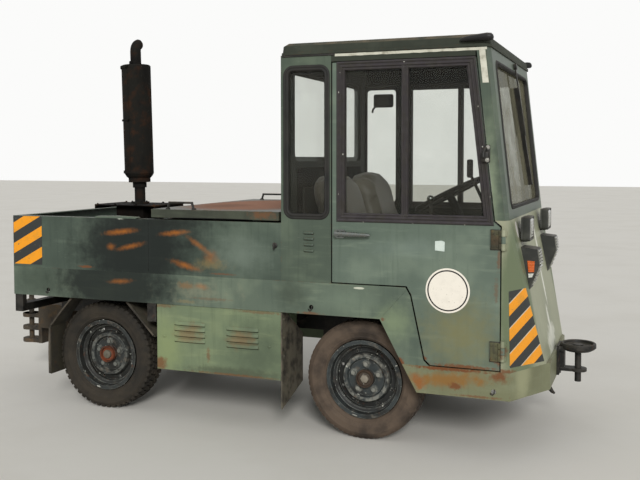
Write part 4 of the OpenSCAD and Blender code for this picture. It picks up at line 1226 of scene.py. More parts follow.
@dataclass
class Door:
    """What a cab door carries: its ridged window frame, screws, lever, hinge bolts, disc and sticker."""

    finish: Finishes
    side: Side
    frame_low: float = 1048.0
    frame_high: float = 1771.0
    frame_rear: float = -94.0
    frame_front: float = 618.0
    divider: float = 226.0
    disc_centre: Flat = (425.0, 747.0)
    disc_radius: float = 100.0

    def frame_corner(self, inset: float) -> list[Flat]:
        """The window frame's outline, inset by some mm, from its lower rear corner.

        Args:
            inset: The inset.

        Returns:
            Its four corners.
        """
        low, high = self.frame_low + inset, self.frame_high - inset
        front = [self.frame_front - LEAN * (z - BELT[1]) - inset for z in (low, high)]
        return [(self.frame_rear + inset, low), (front[0], low), (front[1], high), (self.frame_rear + inset, high)]

    def window_frame(self, work: Work) -> None:
        """Sweep the ridged section round the frame and down its divider.

        Args:
            work: Gets the faces.
        """
        section = [(-7, 599.3), (-7, 602), (-3, 605.5), (2, 605.5), (5, 602), (10, 601.4), (13, 605), (18, 605),
                (21, 600.6), (25, 600), (27, 603), (31, 603), (34, 599), (34, 587), (0, 587)]
        work.loft([[(x, -out, z) for x, z in self.frame_corner(inset)] for inset, out in section], round_trip=True)
        bar = [(-16, 588), (-16, 600), (-13, 605), (-7, 605), (-4, 601), (4, 601), (7, 605), (13, 605), (16, 600),
               (16, 588)]
        work.loft([[(self.divider + x, -out, z) for x, out in bar]
                for z in (self.frame_low + 20, self.frame_high - 20)])

    def screws(self, work: Work) -> None:
        """The frame's screws, as spaced on the real one.

        Args:
            work: Gets the faces.
        """
        for x, z in ((221, 1767), (-81, 1729), (-91, 1638), (-69, 1353), (-93, 1169), (31, 1044), (265, 1045),
                (500, 1044), (608, 1167), (576, 1384), (556, 1560)):
            work.screw((x, -602.4, z), (0, -1, 0), 4.0)

    def lever(self, work: Work) -> None:
        """A tapered pull lever on an oval plate.

        Args:
            work: Gets the faces.
        """
        work.plate([(x, -600.2, z) for x, z in round_outline(-112, -52, 966, 1006, 19)], (0, -6.5, 0))
        work.lathe([(0, 0), (15, 0), (15, 10), (13, 26), (12, 31), (0, 33)], (-92, -600, 986), steps=24)
        rings = []
        for i in range(13):
            t = i / 12
            x = -104 + 174 * t
            wide = 11.5 - 3.0 * t + (1.5 * sin(pi * min(1, t * 1.2)))
            deep = 8.0 - 1.5 * t
            # Both ends are half as thick.
            if i in (0, 12):
                wide, deep = wide * 0.5, deep * 0.5
            rings.append([(x, -625.0 - deep * cos(a), 986 - 2 * t + wide * sin(a)) for a in around(14)])
        work.loft(rings)

    def hinge_bolts(self, work: Work) -> None:
        """Rusted hinge leaves with their knuckles and bolts.

        Args:
            work: Gets the faces.
        """
        for z in HINGES:
            work.block((616, -606.5, z - 42), (655, -603, z + 42), 1.2)
            for k in range(3):
                low = z - 40 + 27.5 * k
                work.lathe([(0, 0), (6.5, 0), (7, 1), (7, 24), (6.5, 25), (0, 25)], (656, -606, low), (0, 0, 1), 16)
            for dx, dz in ((-32, -28), (-32, 28), (-12, -28), (-12, 28), (-22, 0)):
                work.bolt((656 + dx, -606, z + dz), (0, -1, 0), 4.5, 4.0)

    def hinge_painted_shadows(self, work: Work) -> None:
        """Dark plates a little larger than the hinge leaves: a painted shadow that shows as a line round them."""
        for z in HINGES:
            work.block((613, -604.6, z - 45), (658, -602.5, z + 45), 0.8)

    def disc(self, white: Material, black: Material, body: str) -> None:
        """Add a blank white disc with a black ring.

        Args:
            white: Finish of the disc.
            black: Finish of the ring.
            body: The door's body.
        """
        r = self.disc_radius
        plate = [(0, 0.2), (r, 0.2), (r, 1.0), (r - 0.5, 1.4), (0, 1.4)]
        band = [(r - 14, 1.3), (r - 8, 1.3), (r - 8, 1.9), (r - 14, 1.9), (r - 14, 1.3)]
        for name, profile, finish, slot in (("blank_disc", plate, white, "pale_paint"),
                ("disc_ring", band, black, "black_paint")):
            work = Work()
            work.lathe(profile, (self.disc_centre[0], -HALF_W, self.disc_centre[1]), steps=72)
            work.hang(self.side, name, finish, slot, body=body)

    def build(self) -> None:
        """Make the door's pieces."""
        body = f"door_{self.side.word}"
        for name, make, finish, slot in (
                ("window_trim", self.window_frame, self.finish.frame_black, "black_paint"),
                ("trim_screws", self.screws, self.finish.zinc, "black_paint"),
                ("door_lever", self.lever, self.finish.chrome, "black_paint"),
                # The dark plates round the hinge leaves are a painted shadow.
                ("hinge_painted_shadows", self.hinge_painted_shadows, self.finish.black, "black_paint"),
                ("hinge_leaves", self.hinge_bolts, self.finish.hinge_rust, "olive_paint")):
            work = Work()
            make(work)
            work.hang(self.side, name, finish, slot, 40, body)
        self.disc(self.finish.white_enamel, self.finish.black_enamel, body)
        if self.side is Side.RIGHT:
            note = Work()
            note.plate([(x, -600.2, z) for x, z in ((367, 925), (410, 921), (411, 964), (398, 969), (367, 966))],
                    (0, -0.8, 0))
            note.piece("blank_note", self.finish.pale_note, "pale_paint", body=body)


# ---- Body panels ----


@dataclass
class BodyTrim:
    """Louvre hoods, warning film, latches, tape and fasteners of the body."""

    finish: Finishes
    hood_out: float = 9.0

    def hood(self, work: Work, x0: float, x1: float, low: float, face: float, tall: float = 18.0) -> None:
        """A pressed louvre hood that is open below.

        Args:
            work: Gets the faces.
            x0: Its rear end.
            x1: Its front end.
            low: Height of its lower lip.
            face: How far out its panel lies.
            tall: Height of the hood.
        """
        rings = []
        for i in range(15):
            t = i / 14
            bulge = min(1.0, sin(pi * min(max(t, 0.02), 0.98)) * 3.2) ** 0.7
            out = self.hood_out * bulge
            x = x0 + (x1 - x0) * t
            rings.append([(x, -(face - 0.5), low + tall),
                    (x, -(face + out * 0.45), low + tall * (0.62 + 0.2 * bulge)),
                    (x, -(face + out * 0.85), low + tall * 0.45), (x, -(face + out), low),
                    (x, -(face + out - 1.2), low - 0.6), (x, -(face - 0.5), low + 0.4)])
        work.loft(rings)

    def louvres(self, side: Side) -> None:
        """The hoods of the side box and of the quarter panel.

        Args:
            side: Which side.
        """
        work = Work()
        for x0 in (-972, -679):
            first = 411 if x0 < -800 else 405
            for i in range(4):
                self.hood(work, x0, x0 + 174, first + 28 * i + 5, 596.2)
        for x, z in ((-1030, 437), (-447, 427)):
            work.bolt((x, -596, z), (0, -1, 0), 6.5, 5.0)
        work.hang(side, "box_louvres", self.finish.box_green, "pale_paint", 50)
        work = Work()
        for i in range(4):
            self.hood(work, -266, -214, 893 + 28 * i + 4, 600.0, 11.0)
        work.hang(side, "quarter_louvres", self.finish.olive_cab, "olive_paint", 50)

    def film(self, side: Side) -> None:
        """Warning film on the rear of the side and on the nose's chamfer.

        Args:
            side: Which side.
        """
        work = Work()
        corners = ((-1967, 766), (-1781, 766), (-1781, 1025), (-1967, 1025))
        work.plate([(x, -600.3, z) for x, z in corners], (0, -0.7, 0))
        work.hang(side, "rear_film", self.finish.rear_film, "olive_paint")
        work = Work()
        skin = Skin("front_panel")
        grid = quad_grid([(702, -600, 424), (822, -377, 416), (751, -481, 760), (693, -592, 757)], 10, 16)
        skin.lay(work, [[(x + 60, y - 110, z) for x, y, z in row] for row in grid], (-60, 110, 0),
                lift=0.4, thick=0.6)
        work.hang(side, "nose_film", self.finish.nose_film, "olive_paint")

    def latches(self, side: Side) -> None:
        """The deck side's latch, the bracket on the cab post, and a black strip under the roof that is painted shade
        in the gap there.

        Args:
            side: Which side.
        """
        work = Work()
        work.lathe([(0, 0), (13, 0), (13, 3), (11, 5), (6, 6), (6, 13), (5, 15), (0, 15)], (-414, -600, 918),
                steps=20)
        work.block((-419, -619, 900), (-409, -610, 934), 3)
        work.hang(side, "deck_latch", self.finish.black, "black_paint")
        work = Work()
        work.block((585, -607, 1316), (609, -599.5, 1392), 3)
        work.block((572, -622, 1318), (604, -604, 1362), 5)
        work.rod([(594, -604, 1380), (590, -618, 1376), (584, -628, 1360), (584, -630, 1338)], 6, 10)
        work.hang(side, "mirror_bracket", self.finish.black, "black_paint")
        work = Work()
        # A black strip under the roof stands for the shade in the gap: painted shade.
        work.block((-376, -604.5, 1809), (-112, -599, 1818.5), 2)
        work.hang(side, "roof_gap_painted_shade", self.finish.black, "black_paint")

    def lashings(self, side: Side) -> None:
        """A small hook that hangs in each lashing hole, and inward of the rear one a black plate that makes the hole
        look dark: painted shade.

        Args:
            side: Which side.
        """
        for k, (x, z) in enumerate(((REAR + 226, 633), (-228, 633), (632, 316))):
            work = Work()
            # A black plate behind the rear hole is painted shade, so that the hole looks dark.
            if k == 0:
                work.block((x - 100, -546, z - 18), (x + 24, -541, z + 26), 2)
            work.rod([(x + 2, -584, z + 5), (x + 3, -597, z + 7), (x + 4, -603, z + 3), (x + 3, -604, z - 9),
                    (x - 4, -604, z - 17), (x - 11, -604, z - 13), (x - 12, -604, z - 8)], 3.2, 8)
            work.hang(side, f"lashing_hook_{k}", self.finish.black, "black_paint", 45)

    def bracket_bolts(self, side: Side) -> None:
        """Two bright bolts in the bracket.

        Args:
            side: Which side.
        """
        work = Work()
        for z in (1327, 1382):
            work.bolt((600, -622 if z < 1350 else -607, z), (0, -1, 0), 6.0, 6.0)
        work.hang(side, "bracket_bolts", self.finish.zinc, "black_paint")

    def tape(self) -> None:
        """Torn white tape along the gutter and down the front post, on the right side only."""
        wobble = random.Random(11)
        work = Work()
        top, low = [], []
        for i in range(29):
            x = -109 + 700 * (i / 28)
            top.append((x, -600.9 - 1.2 * wobble.random(), 1816.5 - wobble.random()))
            low.append((x, -600.7 - 0.8 * wobble.random(), 1803 + 2.5 * wobble.random()))
        work.loft([[a, b, (b[0], b[1] + 0.9, b[2]), (a[0], a[1] + 0.9, a[2])] for a, b in zip(top, low)])
        rings = []
        for i in range(13):
            z = 1804 - 142 * (i / 12)
            x = 588 - LEAN * (z - 1664)
            rings.append([(x - 15 + wobble.random(), -601.6 - wobble.random(), z),
                    (x + 12 - wobble.random(), -601.2, z), (x + 12, -600.2, z), (x - 15, -600.2, z)])
        work.loft(rings)
        work.piece("gutter_tape", self.finish.white_tape, "pale_paint", 50)

    def ledge(self) -> None:
        """The bent strip that lies on the right deck side ahead of the exhaust."""
        work = Work()
        outline = ((-1440, 1026), (-1196, 1026), (-1190, 1031), (-1200, 1035), (-1320, 1038), (-1436, 1035),
                (-1444, 1030))
        work.plate([(x, -597, z) for x, z in outline], (0, 39, 0), 1.5)
        work.piece("deck_ledge", self.finish.olive_sill, "olive_paint", 40)

    def roof_lamps(self) -> None:
        """Both roof lamps: a rounded housing that tapers to the rear, drawn over the plain CAD one."""
        x0, z0 = screen_at(ROOF_LOW) - 120, ROOF_LOW + 22
        stations = ((-6, 2, 12, 5), (2, 0, 18, 12), (24, 0, 24, 17), (70, 0, 30, 23), (112, 0, 34, 26),
                (130, 1, 32, 25), (137, 4, 26, 18), (140, 9, 18, 8))
        turns = [pi * (k / 12 - 0.5) for k in range(13)]
        for side in Side:
            work = Work()
            work.loft([[(x0 + along, -HALF_W - 6 - out * max(0.0, cos(a)) ** 0.6,
                    z0 + (low + top) / 2 + (top - low) / 2 * sin(a)) for a in turns]
                    for along, low, top, out in stations])
            lamp = work.hang(side, "roof_lamp", self.finish.roof_lamp_plastic, "lamp_plastic", 50)
            if side is Side.RIGHT:
                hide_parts("roof_lamps")

    def rear_lamps(self, side: Side) -> None:
        """A lamp cluster on the rear panel: housing, red and orange lens.

        Args:
            side: Which side.
        """
        housing = Work()
        housing.block((REAR - 26, -560, 640), (REAR + 1, -430, 740), 6)
        housing.hang(side, "rear_lamp", self.finish.lamp_plastic, "lamp_plastic")
        for name, y0, y1, lens in (("tail", -555, -500, self.finish.red_lens),
                                   ("turn", -496, -435, self.finish.orange_lens)):
            work = Work()
            work.block((REAR - 34, y0, 646), (REAR - 22, y1, 734), 5)
            work.hang(side, f"{name}_lens", lens, "lamp_plastic")

    def build(self) -> None:
        """Make all the body's trim."""
        for side in Side:
            for make in (self.louvres, self.film, self.latches, self.lashings, self.bracket_bolts, self.rear_lamps):
                make(side)
        self.tape()
        self.ledge()
        self.roof_lamps()


# ---- Front lamps ----


@dataclass
class NoseLamps:
    """Lenses and bezels of the head and turn lamps."""

    finish: Finishes
    lamp_y: float = 348.0

    def head(self, side: Side) -> None:
        """The headlamp's bezel, reflector lens and bracket.

        Args:
            side: Which side.
        """
        back = panel_at(1016) + 18
        x = back + 36
        y0, y1, z0, z1 = -self.lamp_y - 70, -self.lamp_y + 70, 963, 1069
        bezel = Work()
        rings = [[(x + out, y, z) for y, z in round_outline(y0 - g, y1 + g, z0 - g, z1 + g, 14)]
                for g, out in ((1.5, -26), (2.5, -24), (2.5, 1), (0, 4), (-7, 4), (-8, -1), (0, -1), (0, -26))]
        bezel.loft(rings, round_trip=True)
        for y in (y0 + 14, y1 - 14):
            bezel.screw((x + 4, y, z1 - 4), (1, 0, 0), 4)
        bezel.hang(side, "head_bezel", self.finish.lamp_plastic, "lamp_plastic")
        lens = Work()
        rings = [[(x + out, y, z) for y, z in round_outline(y0 + g, y1 - g, z0 + g, z1 - g, 10)]
                for g, out in ((8, -1), (8, 1), (14, 4), (34, 6))]
        lens.loft(rings)
        lens.hang(side, "head_lens", self.finish.clear_lens, "lamp_plastic")

    def turn(self, side: Side) -> None:
        """Lenses on the outer side and the front of the turn lamp.

        Args:
            side: Which side.
        """
        face = -410.6
        for name, lens, corners in (
                ("turn_side", self.finish.orange_lens, [(751, 822), (776, 824), (779, 872), (746, 874)]),
                ("side_light", self.finish.white_lens, [(752, 797), (768, 800), (775, 818), (750, 816)])):
            work = Work()
            work.plate([(x, face - 4.5, z) for x, z in corners], (0, 5.0, 0), 1.2)
            work.hang(side, name, lens, "lamp_plastic")
        low, high = (panel_at(934) + 82, 855), (panel_at(934) + 73, 922)
        work = Work()
        for k in range(5):
            start, end = between(low, high, k / 5 + 0.02), between(low, high, (k + 1) / 5 - 0.02)
            work.block((min(start[0], end[0]) - 2, -401, start[1]), (max(start[0], end[0]) + 5, -295, end[1]), 3)
        work.hang(side, "turn_front", self.finish.clear_lens, "lamp_plastic")
        work = Work()
        foot = (panel_at(743), 743)
        for k in range(4):
            (x1, z1), (x0, z0) = (between(foot, low, 1 - t) for t in (0.06 + 0.2 * k, 0.06 + 0.2 * k + 0.17))
            work.loft([[(x0 + 1, -398, z0), (x1 + 1, -398, z1), (x1 + 6, -396, z1 - 3), (x0 + 6, -396, z0 + 1)],
                    [(x0 + 1, -298, z0), (x1 + 1, -298, z1), (x1 + 6, -300, z1 - 3), (x0 + 6, -300, z0 + 1)]])
        work.hang(side, "front_ribs", self.finish.clear_lens, "lamp_plastic")

    def build(self) -> None:
        """Make the lamps' pieces."""
        for side in Side:
            self.head(side)
            self.turn(side)


# ---- Couplings, exhaust, underside ----


@dataclass
class Ironwork:
    """Fasteners, pins, clamps and small iron parts of exhaust, tray, couplings and mudguards."""

    finish: Finishes
    exhaust_x: float = REAR + 411
    tray_top: float = 1069.0
    lean: float = 1.5

    def exhaust(self) -> None:
        """Clamp bands, seams and the base bolts of the leaning exhaust."""
        x, tray = self.exhaust_x, self.tray_top
        foot = (x, 0, tray)
        up = (-sin(radians(self.lean)), 0.0, cos(radians(self.lean)))

        def at(height: float, y: float, out: float = 0.0) -> Point:
            """A point beside the stack's axis at a height over the ground."""
            return (x + up[0] * (height - tray) + out, y, height)

        work = Work()
        for z, wide in ((1258, 9), (1560, 5), (1868, 8)):
            h = z - tray
            work.lathe([(82, h - wide), (85.6, h - wide), (86.2, h), (85.6, h + wide), (82, h + wide)], foot, up, 56)
        work.rod([at(1262, -84.3), at(1560, -84.3), at(1864, -84.3)], 1.8, 8)
        for z in (1560, 1868):
            work.block(at(z - 6, -98, -5), at(z + 6, -84, 5), 2)
            work.bolt(at(z, -97, 0), (0, -1, 0), 4.5, 5)
        h = 1893 - tray
        work.lathe([(30, h - 11), (34, h - 11), (34.6, h), (34, h + 11), (30, h + 11)], foot, up, 32)
        work.bolt(at(1893, -34.5), (0, -1, 0), 4.5, 7)
        work.piece("exhaust_bands", self.finish.burnt_steel, "rusty_steel", 45)
        work = Work()
        for a in range(4):
            angle = radians(45 + 90 * a)
            work.bolt((x + 42 * cos(angle), 42 * sin(angle), tray + 12), (0, 0, 1), 5, 6)
        for dx in (-190, -70, 70, 190):
            for dy in (-146, 146):
                work.bolt((x + dx, dy, tray), (0, 0, 1), 6, 7)
        for dx in (-199, 199):
            work.block((x + dx - 4, -158, tray - 24), (x + dx + 4, 158, tray + 2), 2)
        work.piece("tray_bolts", self.finish.rust, "rusty_steel", 45)

    def front_hitch(self) -> None:
        """Bolts of the front coupling's plate, a split pin, and the hook under the bumper."""
        work = Work()
        for y in (-48, 48):
            for z in (296, 410):
                work.bolt((855, y, z), (1, 0, 0), 7, 8)
        work.rod([(934, -24, 252), (940, 0, 251), (946, 22, 253)], 2.6, 8)
        work.rod([(940 + 77 * cos(a), 77 * sin(a), 428) for a in around(48)], 7.5, 12, closed=True)
        work.rod([(826, -250, 286), (832, -262, 268), (846, -272, 254), (858, -280, 248)], [11, 12, 9, 5], 10)
        work.piece("front_hitch_bits", self.finish.hitch_iron, "black_paint", 45)

    def rear_hitch(self) -> None:
        """Bolts, the pin's handle and a safety chain on the rear coupling."""
        work = Work()
        for y in (-150, -100, 100, 150):
            for z in (325, 440, 550):
                work.bolt((REAR - 12, y, z), (-1, 0, 0), 9, 9)
        for z in (225, 305, 385, 460):
            work.lathe([(48.5, -7), (52.6, -5), (52.6, 5), (48.5, 7)], (-2356, 0, z - 19), (0, 0, 1), 36)
        work.rod([(-2356, -2, 470), (-2356, -4, 494), (-2350, -22, 506), (-2338, -40, 494)], 6, 10)
        links = [(-2300 + 7 * i, -64 - 3 * sin(i * 0.5), 455 - 26 * sin(pi * i / 13))
                for i in range(14)]
        for i, (x, y, z) in enumerate(links):
            # Every other link stands upright.
            across, up = (4.6, 0) if i % 2 else (0, 4.6)
            ring = [(x + 8.5 * cos(a), y + across * sin(a), z + up * sin(a)) for a in around(10)]
            work.rod(ring, 1.6, 6, closed=True)
        work.piece("rear_hitch_bits", self.finish.cast_rust, "rusty_steel", 45)

    def mudguards(self, side: Side) -> None:
        """Rolled edges of the front mudguard and stays of the rear one.

        Args:
            side: Which side.
        """
        work = Work()
        x = -384
        work.rod([(x, -592, 597), (x, -592, 420), (x, -592, 280), (x, -590, 130)], 4.0, 10)
        work.rod([(x, -552, 594), (x, -440, 520), (x, -334, 452)], 3.5, 10)
        for z in (560, 470, 380):
            work.bolt((x + 2, -570, z), (1, 0, 0), 5, 4)
        work.hang(side, "mudguard_edge", self.finish.guard_grey, "black_paint", 45)
        work = Work()
        work.rod([(-1620, -566, 590), (-1684, -568, 520), (-1752, -570, 438)], 5, 10)
        work.rod([(-1275, -566, 590), (-1190, -568, 506), (-1112, -570, 428)], 5, 10)
        rings = []
        for i in range(9):
            t = i / 8
            z = 424 - 250 * t
            bow = 5 * sin(2.4 * t)
            rings.append([(x - bow, y, z) for x, y in ((-1755, -573), (-1755, -437), (-1766, -437), (-1766, -573))])
        work.loft(rings)
        work.hang(side, "mud_flap", self.finish.flap_rubber, "black_paint", 45)

    def build(self) -> None:
        """Make the ironwork."""
        self.exhaust()
        self.front_hitch()
        self.rear_hitch()
        for side in Side:
            self.mudguards(side)


# ---- Inside the cab ----


@dataclass
class Interior:
    """Seats, gauges, levers, pedals, lining and mirror inside the cab."""

    finish: Finishes
    seat_y: float = 270.0
    shrink: float = 8.0
    swell_steps: int = 18
    voxel: float = 0.011
    cap: float = 0.014

    def pad(self, name: str, node: str, side: Side) -> Object:
        """Build one pad from the node's own box, blown up as cloth.

        Args:
            name: The piece's name.
            node: The CAD node whose space it takes.
            side: Which seat.

        Returns:
            The pad.
        """
        low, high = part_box(node)
        shrink = self.shrink
        x0, x1 = (low.x - AXLE) / MM, (high.x - AXLE) / MM
        z0, z1 = low.z / MM, high.z / MM
        middle = self.seat_y * side.value
        half = (high.y / MM) - self.seat_y
        work = Work()
        rings = []
        back = "back" in node
        for i in range(15):
            t = i / 14
            z = z0 + shrink + (z1 - z0 - 2 * shrink) * t
            front, rear, crown = x1 - shrink, x0 + shrink, 1.0
            if back:
                # The back leans, is 125 mm thick at most, and has round shoulders.
                front -= 0.30 * (z - z0)
                rear = max(rear, front - 125)
                crown = sqrt(max(0.0, 1 - (max(0.0, t - 0.72) / 0.28) ** 2))
            wide = (half - shrink) * (0.55 + 0.45 * crown)
            centre = (rear + front) / 2
            edge = 10 * (1 - sin(pi * t)) ** 3
            rings.append([(cx + (centre - cx) * edge / 90, middle + cy * (1 - edge / 240), z) for cx, cy in
                    round_outline(rear, front, -wide, wide, min((front - rear) * 0.42, 55), 5)])
        work.loft(rings)
        made = work.piece(name, self.finish.vinyl, "vinyl", 180)
        self.inflate(made)
        return made

    def inflate(self, pad: Object) -> None:
        """Blow a pad up as cloth, cap the movement and keep the result.

        Args:
            pad: The pad.
        """
        bpy.context.view_layer.objects.active = pad
        pad.data.remesh_voxel_size = self.voxel
        pad.select_set(True)
        bpy.ops.object.voxel_remesh()
        rest = [v.co.copy() for v in pad.data.vertices]
        cloth = pad.modifiers.new("cloth", "CLOTH")
        cloth.settings.use_pressure = True
        cloth.settings.uniform_pressure_force = 4.0
        cloth.settings.effector_weights.gravity = 0.0
        cloth.settings.tension_stiffness = 18.0
        cloth.settings.quality = 4
        scene = bpy.context.scene
        for step in range(1, self.swell_steps + 1):
            scene.frame_set(step)
        moved = pad.evaluated_get(bpy.context.evaluated_depsgraph_get())
        swollen = [v.co.copy() for v in moved.data.vertices]
        pad.modifiers.remove(cloth)
        scene.frame_set(1)
        for vert, start, end in zip(pad.data.vertices, rest, swollen):
            way = end - start
            vert.co = start + (way if way.length <= self.cap else way * (self.cap / way.length))
        pad.modifiers.new("smooth", "SUBSURF").levels = 1
        pad.data.shade_smooth()
        pad.select_set(False)

    def piping(self, work: Work, side: Side) -> None:
        """Welts along the front edge of the cushion and round the seat back.

        Args:
            work: Gets the faces.
            side: Which side.
        """
        y = self.seat_y * side.value
        path = ((-120, -196), (200, -196), (232, -160), (232, 160), (200, 196), (-120, 196))
        work.rod([(x, y + dy, 846) for x, dy in path], 4.0, 8)
        for dy in (-66, 66):
            work.rod([(-110, y + dy, 862), (40, y + dy, 864), (190, y + dy, 861), (232, y + dy, 844)], 2.6, 8)

    def controls(self) -> None:
        """Gauges, switches, levers and pedals at the driver's place."""
        dash = Work()
        for y, r in ((190, 40), (290, 40), (360, 24), (120, 24)):
            dash.lathe([(0, 0), (r, 0), (r, 5), (r - 4, 8), (r - 6, 5), (0, 5)], (562, y, 960), (-1, 0, 0.09), 28)
        for k in range(6):
            dash.block((550, -60 + 24 * k, 930), (560, -46 + 24 * k, 948), 2)
        dash.block((553, 50, 1040), (640, 520, 1054), 6)
        dash.piece("dash_gauges", self.finish.black_plastic, "cab_plastic", 40)
        levers = Work()
        levers.rod([(190, 20, 735), (196, 10, 900), (198, 4, 1050), (196, 0, 1118)], [9, 8, 7, 6], 10)
        levers.rod([(470, 240, 1110), (500, 110, 1150), (506, 60, 1160)], [6, 5, 6], 8)
        levers.rod([(505, -60, 1045), (470, -60, 1140), (422, -60, 1240)], [8, 8, 8], 10)
        levers.block((398, -78, 1238), (426, -42, 1330), 8)
        for y in (180, 300, 390):
            levers.rod([(560, y, 620), (520, y, 540), (470, y, 500)], 7, 8)
            levers.block((448, y - 30, 478), (462, y + 30, 545), 4)
        levers.piece("levers_and_pedals", self.finish.black, "cab_plastic", 40)
        knob = Work()
        knob.lathe([(0, 0), (9, 0), (16, 8), (19, 18), (17, 28), (10, 35), (0, 37)], (196, 0, 1108), (0, 0, 1), 24)
        knob.piece("lever_knob", self.finish.chrome, "cab_plastic")
        mirror = Work()
        mirror.rod([(-300, 562, 1610), (-290, 540, 1625), (-262, 528, 1652)], 6, 10)
        mirror.loft([[(x, 520 - d, z) for x, z in round_outline(-280 + d, -158 - d, 1634 + d, 1712 - d, 14)]
                for d in (0, 3, 18, 21)])
        mirror.piece("cab_mirror", self.finish.black_plastic, "cab_plastic")

    def lining(self) -> None:
        """Trim boards on the roof and the rear wall with their clips, and strips along the tops of the side windows;
        their near-black colour is painted shade.
        """
        work = Work()
        work.block((-330, -540, 1846), (548, 540, 1857), 4)
        work.block((-351, -480, 770), (-346, 480, 1290), 3)
        # Strips along the tops of the side windows darken them as painted shade.
        for y in (-561, 557):
            work.block((-340, y, 1768), (535, y + 4, 1850), 1)
        for x in (-300, 0, 300, 520):
            for y in (-500, 0, 500):
                work.screw((x, y, 1846), (0, 0, -1), 9)
        work.piece("cab_lining_painted_shade", self.finish.lining, "cab_plastic", 40)
        floor = Work()
        floor.block((395, -540, 420), (690, 540, 425), 2)
        for x in range(400, 670, 27):
            floor.block((x, -530, 424), (x + 9, 530, 428), 1)
        floor.piece("floor_mat", self.finish.flap_rubber, "cab_plastic", 40)

    def build(self) -> None:
        """Make the inside of the cab."""
        cushions, backs = [], []
        for side in Side:
            cushions.append(self.pad(f"seat_cushion_{side.word}", "seat_cushions", side))
            backs.append(self.pad(f"seat_back_{side.word}", "seat_backs", side))
            welts = Work()
            self.piping(welts, side)
            welts.piece(f"seat_piping_{side.word}", self.finish.piping, "vinyl")
        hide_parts("seat_cushions")
        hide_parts("seat_backs")
        self.controls()
        self.lining()


# ---- All finishes ----


def flank(x: float, z: float, wide: float, tall: float, *looks: str | float) -> Spot:
    """A spot on the right side of the body: its place, its reach, and the spot's other values."""
    return Spot((x, -HALF_W, z), (wide, 60, tall), *looks)


def rust(x: float, z: float, wide: float, tall: float, strength: float = 0.85, colour: str = "#6f4528") -> Spot:
    """A rust patch on the right side."""
    return flank(x, z, wide, tall, colour, strength)


def sprayed(x: float, z: float, wide: float, tall: float, tilt: float, strength: float) -> Spot:
    """A soft smudge of orange overspray on the right side."""
    return Spot((x, -HALF_W, z), (wide, 30, tall), "#ab641d", strength, tilt, 0.4, 1.1, 0.5)


def paint(name: str, *colours: str | float, **more: object) -> Material:
    """The material of one painted sheet."""
    return PaintedSheet(f"alkyd_paint_{name}", *colours, **more).make()


